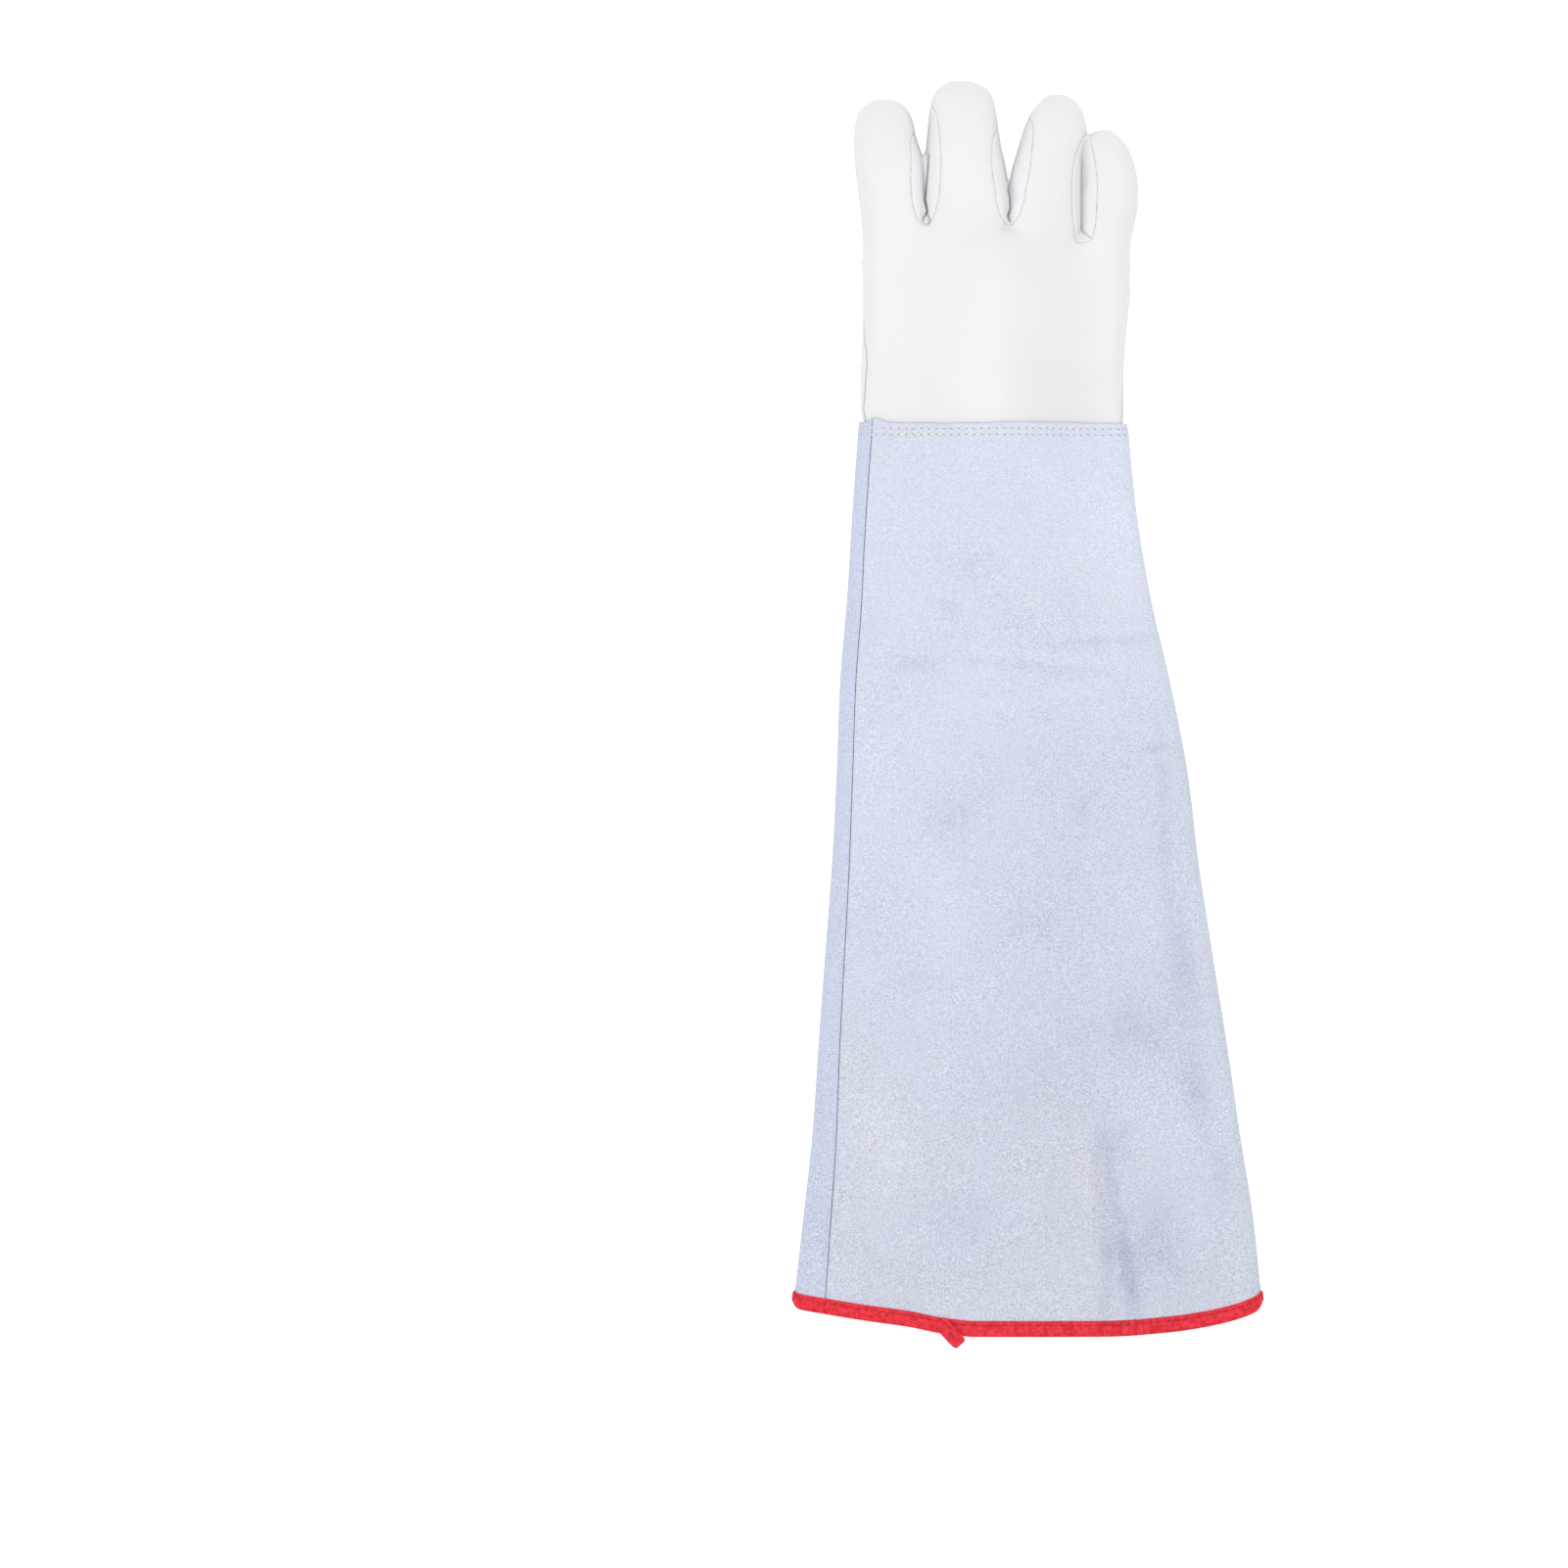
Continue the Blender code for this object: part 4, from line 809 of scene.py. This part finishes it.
def palm_rings():
    """The palm as a stack of rings, from its wrist inside the gauntlet to the finger roots."""
    depths = np.array((LAP_LENGTH + 0.003, LAP_LENGTH, 0.008, 0.004, 0.0))
    back, front = gauntlet_chains(depths / GAUNTLET_LENGTH, SUEDE_WALL + LAP_GAP, 0.0, 90, 72)
    wrist = np.concatenate((back, front), axis=1)
    along = np.linspace(PALM_ROWS[0][0], PALM_ROWS[-1][0], 70)
    left, right, floor, height, fold = smooth_rows(PALM_ROWS, along)
    left, right = PALM_LEFT + left * PALM_WIDTH, PALM_LEFT + right * PALM_WIDTH
    floor, height = floor * PALM_HEIGHT, height * PALM_HEIGHT
    fold = np.minimum(fold * PALM_FOLD, (height - floor) * 0.49)
    ring = np.concatenate(flat_tube((left, right, floor, fold, height, fold), 0.0, 90, 72), axis=1)
    x, z = ring[..., 0], ring[..., 1]
    slant = FINGER_ROOT_SLANT * smooth_step((along - 0.25) / 0.30)[:, None]
    y = WRIST_Y + along[:, None] * HAND_LENGTH - slant * (x - PALM_MIDDLE)
    return np.concatenate((wrist, np.stack((x, y, z + thumb_lift(x, y)), axis=-1)))


def skin_over(forms, voxel):
    """One even skin round all the forms, each a stack of rings closed at its ends."""
    shape = bmesh.new()
    for rings in forms:
        shape.from_mesh(grid_mesh("form", rings, closed=True))
    bmesh.ops.holes_fill(shape, edges=shape.edges)
    bmesh.ops.recalc_face_normals(shape, faces=shape.faces)
    source = finished("forms", kept(shape, bpy.data.meshes.new("forms")))
    wrap = source.modifiers.new("skin", "REMESH")
    wrap.mode = "VOXEL"
    wrap.voxel_size = voxel
    skin = evaluated_mesh(source)
    bpy.data.objects.remove(source)
    return skin


def smooth_skin(skin, steps, share_at=None):
    """Moves each point of the skin a step towards the middle of its neighbours, for each of the steps."""
    count = len(skin.vertices)
    places, edges = np.empty(count * 3), np.empty(len(skin.edges) * 2, int)
    skin.vertices.foreach_get("co", places)
    skin.edges.foreach_get("vertices", edges)
    places, edges = places.reshape(-1, 3), edges.reshape(-1, 2)
    share = share_at(places) if share_at else np.ones(count)
    a, b = edges[(share[edges] > 0).any(axis=1)].T
    degree = np.maximum(np.bincount(a, minlength=count) + np.bincount(b, minlength=count), 1)[:, None]
    for step in steps:
        around = np.stack([np.bincount(a, places[b, k], count) + np.bincount(b, places[a, k], count)
                           for k in range(3)], axis=1)
        places += step * share[:, None] * (around / degree - places)
    skin.vertices.foreach_set("co", places.ravel())


# A step in and a slightly longer step out take small bumps away without shrinking the form
IN_AND_OUT = (0.5, -0.53)


def knuckles(places):
    """1 over the back of the knuckles, fading out along the fingers and towards the gaps."""
    x, y, z = places.T
    along = (y - WRIST_Y + FINGER_ROOT_SLANT * (x - PALM_MIDDLE)) / HAND_LENGTH
    share = smooth_step((along - 0.42) / 0.05) * (1 - smooth_step((along - 0.60) / 0.09))
    for number in range(3):
        gap = (finger_edge(FINGERS[number], y, 1) + finger_edge(FINGERS[number + 1], y, 0)) / 2
        above_root = smooth_step((along - 0.545) / 0.02)
        share = share * (1 - above_root * (1 - smooth_step((np.abs(x - gap) - 0.003) / 0.007)))
    return share * (z > 0.004 + thumb_lift(x, y))


def finger_edge(finger, y, side):
    """The x of a finger's left (0) or right (1) edge at each y."""
    share = (y - WRIST_Y) / HAND_LENGTH
    columns = smooth_rows(finger.rows, (share - finger.root) / (finger.tip - finger.root))
    return PALM_LEFT + columns[side] * PALM_WIDTH


def strip_level(strip, places):
    """Above zero between a strip's two seams and below zero outside them."""
    x, y = places[:, 0], places[:, 1]
    point = WRIST_Y + strip.point * HAND_LENGTH
    left_edge = finger_edge(FINGERS[strip.left_finger], y, 1)
    right_edge = finger_edge(FINGERS[strip.left_finger + 1], y, 0)
    inward = []
    for inset, top, bow in strip.seams:
        share = (y - point) / (top * HAND_LENGTH + WRIST_Y - point)
        share = np.where(share < 0.5, 0.5 * np.maximum(share / 0.5, 0.0) ** bow, share)
        seam = smooth_rows(SEAM_ROWS, share)[0] * inset * PALM_WIDTH
        # Past its top the seam has run off the finger's edge
        inward.append(seam - 0.015 * np.clip(share - 1, 0.0, 1.0))
    on_left = x < (left_edge + right_edge) / 2
    level = np.where(on_left, x - left_edge + inward[0], right_edge + inward[1] - x)
    return np.minimum(level, y - point + 0.0005)


def side_seam_level(places):
    """Above zero on the back of the hand and below zero on its palm."""
    x, y, z = places.T
    along = (y - WRIST_Y) / HAND_LENGTH
    fold = smooth_rows(PALM_ROWS, along)[4] * PALM_FOLD
    climb = 1 - smooth_step((along - 0.15) / 0.20)
    thumb_side = smooth_step((PALM_MIDDLE - x - PALM_WIDTH * 0.15) / (PALM_WIDTH * 0.20))
    return z - SEAM_HEIGHT - (fold * 1.75 - SEAM_HEIGHT) * climb * thumb_side - thumb_lift(x, y)


def score(shape, level):
    """Cuts a line of edges into the skin where the level passes zero."""
    shape.verts.index_update()
    shape.verts.ensure_lookup_table()
    heights = level(np.array([vert.co for vert in shape.verts]))
    pairs = np.array([[vert.index for vert in edge.verts] for edge in shape.edges])
    edges = list(shape.edges)
    crossing = [edges[k] for k in np.nonzero(heights[pairs[:, 0]] * heights[pairs[:, 1]] < 0)[0]]
    places = {vert: heights[vert.index] for edge in crossing for vert in edge.verts}
    line = []
    for edge in crossing:
        a, b = edge.verts
        t = places[a] / (places[a] - places[b]) if places[a] * places[b] < 0 else 0.5
        # A corner that lies almost on the line moves onto it
        if t < 0.25 or t > 0.75:
            near, other = (a, b) if t < 0.25 else (b, a)
            near.co = near.co.lerp(other.co, min(t, 1 - t))
            places[near] = 0.0
            line.append(near)
    for edge in crossing:
        a, b = edge.verts
        if places[a] * places[b] < 0:
            line.append(bmesh.utils.edge_split(edge, a, places[a] / (places[a] - places[b]))[1])
    bmesh.ops.connect_verts(shape, verts=line)


def leather_material():
    """White grain leather, a little glossy, with fine pores and a thin grey line of painted shade where it is
    sewn.
    """
    material, tree, shader, place = new_material("white_grain_leather", 0.48, 0.30)
    tone = ramp(tree, noise(tree, place, 22.0, 3.0), (0.35, (0.652, 0.660, 0.668)),
                (0.65, (0.668, 0.677, 0.690)))
    # Painted shade: the leather darkens near each seam, as in the shade of its groove
    line = mapped(tree, attribute(tree, "seam_mm"), 0.10, 0.60, 0.60)
    # Painted shade: the leather darkens along the folds between the fingers
    dark = mapped(tree, attribute(tree, "fold"), 0.05, 0.95, 1.0, 0.45)
    pores = add_node(tree, "ShaderNodeTexVoronoi", Vector=place, Scale=1500.0).outputs["Distance"]
    # Painted shade also darkens the leather where it stands on edge
    dressed(tree, shader, scaled(tree, tone, line, dark, painted_edge_shade_of(tree, 50.0, 0.44)), pores, 0.06, 0.0003)
    return material


def drawn_in(shape, distances, depths, sinking):
    """Draws the leather in along its seams, and down into its folds. Distances are in millimetres."""
    layer = shape.verts.layers.float.new("seam_mm")
    shape.normal_update()
    normals = [vert.normal.copy() for vert in shape.verts]
    for vert, normal, far, depth, sink in zip(shape.verts, normals, distances, depths, sinking):
        vert[layer] = far
        vert.co -= normal * depth
        vert.co.z -= sink


leather = leather_material()
skin = skin_over([palm_rings(), *(finger_rings(finger) for finger in FINGERS)], 0.00085)
smooth_skin(skin, IN_AND_OUT * 11)
smooth_skin(skin, (0.9,) * 200, knuckles)
shape = opened(skin)
bmesh.ops.bisect_plane(shape, geom=[*shape.verts, *shape.edges, *shape.faces], clear_inner=True,
                       plane_co=(0, WRIST_Y - LAP_LENGTH, 0), plane_no=(0, 1, 0))
# The skin is made finer along the folds between the fingers
for reach in (0.0022, 0.0011):
    edges = list(shape.edges)
    x, y, z = np.array([edge.verts[0].co + edge.verts[1].co for edge in edges]).T / 2
    near = np.min([fold_at(fold, x, y)[2] for fold in FOLDS], axis=0) < reach
    bmesh.ops.subdivide_edges(shape, edges=[edges[k] for k in np.nonzero(near & (z > 0.008))[0]], cuts=1,
                              use_grid_fill=True)
for strip in STRIPS:
    score(shape, lambda places, strip=strip: strip_level(strip, places))
score(shape, side_seam_level)

BACK, PALM = 3, 4
centres = np.array([face.calc_center_median() for face in shape.faces])
labels = np.where(side_seam_level(centres) > 0, BACK, PALM)
for number, strip in enumerate(STRIPS):
    labels[strip_level(strip, centres) > 0] = number
shape.faces.index_update()
sewn = [edge for edge in shape.edges if len(edge.link_faces) == 2
        and labels[edge.link_faces[0].index] != labels[edge.link_faces[1].index]]
seams = KDTree(len(sewn) * 3)
for edge in sewn:
    of_strip = int(min(labels[face.index] for face in edge.link_faces) < BACK)
    for k in range(3):
        seams.insert(edge.verts[0].co.lerp(edge.verts[1].co, k / 3), of_strip)
seams.balance()
of_strip, distances = np.array([seams.find(vert.co)[1:] for vert in shape.verts]).T
distances = distances / MM
# The seams of the side strips are drawn in less than the one along the glove's side
depths = (0.70 - 0.42 * of_strip) * MM * np.exp(-(distances / 0.75) ** 2)
x, y, z = np.array([vert.co for vert in shape.verts]).T
on_top = smooth_step((z - thumb_lift(x, y) - 0.0085) / 0.003)
deep, dark, _ = (np.max(values, axis=0) for values in zip(*(fold_at(fold, x, y) for fold in FOLDS)))
# The distance kept for the painted seam shade is longer beside the strips' seams, so their line is fainter
drawn_in(shape, np.minimum(distances + 0.38 * of_strip, 20.0), depths, deep * on_top)
# The folds' painted shade, kept on the skin for the leather's colour
layer = shape.verts.layers.float.new("fold")
for vert, painted_shade in zip(shape.verts, dark * on_top):
    vert[layer] = painted_shade
hand = kept(shape, bpy.data.meshes.new("hand"))

for number, name, node in ((0, "index_middle_side_strip", "index_middle_strip"),
                           (1, "middle_ring_side_strip", "middle_ring_strip"),
                           (2, "ring_little_side_strip", "ring_little_strip"),
                           (BACK, "back_of_hand", "hand_back"), (PALM, "palm_of_hand", "hand_palm")):
    shape = opened(hand)
    faces = list(shape.faces)
    bmesh.ops.delete(shape, geom=[faces[k] for k in np.nonzero(labels != number)[0]], context="FACES")
    mesh = kept(shape, bpy.data.meshes.new(name))
    piece = solidified(finished(name, mesh, leather), LEATHER_WALL)
    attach(piece, "root")
    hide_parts(node)

# WRIST STITCHING
# Two close rows of pale waxed thread hold the gauntlet's raw edge down over the hand.
pale_thread = thread_material("pale_waxed_thread", (0.80, 0.84, 0.64), (0.66, 0.71, 0.72))
suede_hole_shade = hole_shade_material("suede_needle_hole_shade", (0.26, 0.29, 0.29))
for number, below in enumerate((0.0041, 0.0076)):
    places, facings = gauntlet_path(below, 0.00006)
    stitches = stitched(f"wrist_stitches_{number + 1}", places, facings, True, Pitch=0.0042, Length=0.0033,
                        Thickness=0.00064, Lift=0.00030, Slant=0.06, Seed=11 + number, Thread=pale_thread,
                        Hole=suede_hole_shade)

# THUMB
# A flat pouch of the same leather, sewn round a hole in the palm and folded flat under it.
THUMB_LENGTH, THUMB_WIDTH, THUMB_THICKNESS = 0.0780, 0.0350, 0.0110
THUMB_SIDE, THUMB_BASE_UP, THUMB_TURN = -0.06648, 0.0080, math.radians(14)
# Along, width and height
THUMB_ROWS = per_mille(
    (0, 300, 420), (30, 640, 720), (90, 900, 940), (180, 1000, 1000), (400, 980, 1000), (660, 920, 1000),
    (820, 820, 960), (920, 640, 840), (975, 420, 620), (1000, 160, 280)
)


def thumb_rings():
    """The folded thumb as a stack of rings, flat where it is pressed between the table and the palm."""
    along = (1 - np.cos(np.linspace(0, math.pi, 90))) / 2
    width, height = smooth_rows(THUMB_ROWS, along)
    sideways, upwards = flattened_circle(0.8)
    across = np.outer(width * THUMB_WIDTH / 2, sideways)
    z = THUMB_THICKNESS / 2 + np.outer(height * THUMB_THICKNESS * 0.6, upwards)
    z = np.clip(z, 0.0, THUMB_THICKNESS + 0.0004)
    reach = (along * THUMB_LENGTH)[:, None]
    x = THUMB_SIDE + reach * math.sin(THUMB_TURN) + across * math.cos(THUMB_TURN)
    y = WRIST_Y + THUMB_BASE_UP + reach * math.cos(THUMB_TURN) - across * math.sin(THUMB_TURN)
    return np.stack((x, y, z), axis=-1)


mesh = skin_over([thumb_rings()], 0.0008)
smooth_skin(mesh, IN_AND_OUT * 10)
# Its two halves are sewn together round its edge
shape = opened(mesh)
score(shape, lambda places: places[:, 2] - THUMB_THICKNESS / 2)
# The distance from this seam also sets the leather's painted seam shade
distances = np.abs(np.array([vert.co.z for vert in shape.verts]) - THUMB_THICKNESS / 2) / MM
drawn_in(shape, distances, 0.6 * MM * np.exp(-(distances / 0.75) ** 2), np.zeros_like(distances))
thumb = solidified(finished("thumb_pouch", kept(shape, mesh), leather), LEATHER_WALL)
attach(thumb, "root")
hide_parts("thumb")

# STUDIO
# A white table under a broad soft light from above, and a long lens looking straight down.
shape = bmesh.new()
bmesh.ops.create_grid(shape, x_segments=1, y_segments=1, size=8.0)
# A hair below the faces that lie on it, so that they don't flicker
bmesh.ops.translate(shape, verts=shape.verts, vec=(0.0, 0.0, -0.0001))
white, _, shader, _ = new_material("white_table", 0.9, 0.0)
shader.inputs["Base Color"].default_value = (0.93, 0.93, 0.93, 1.0)
shader.inputs["Emission Color"].default_value = (1.0, 1.0, 1.0, 1.0)
shader.inputs["Emission Strength"].default_value = 0.38
table = finished("table_top", kept(shape, bpy.data.meshes.new("table_top")), white)

scene = bpy.context.scene
scene.view_settings.view_transform = "Standard"
scene.world = bpy.data.worlds.new("studio")
scene.world.use_nodes = True
sky = scene.world.node_tree.nodes["Background"].inputs
sky["Color"].default_value = (1.0, 1.0, 1.0, 1.0)
sky["Strength"].default_value = 0.75

softbox = bpy.data.lights.new("softbox", "AREA")
softbox.shape = "DISK"
softbox.size = 3.0
softbox.energy = 61.0
lamp = in_scene("softbox", softbox)
lamp.location = (-0.15, 0.25, 3.0)
lamp.rotation_euler = (-lamp.location).to_track_quat("-Z", "Y").to_euler()
lamp.visible_camera = False

# From this high up the lens takes in a square of 0.8485 m
LENS_HEIGHT, FRAME_WIDTH = 8.0, 0.8485
lens = bpy.data.cameras.new("camera")
lens.sensor_width = 36.0
lens.lens = lens.sensor_width * LENS_HEIGHT / FRAME_WIDTH
lens.clip_end = 100.0
camera = in_scene("camera", lens)
camera.location = (-0.13197, -0.0379, LENS_HEIGHT + 0.015)
scene.camera = camera
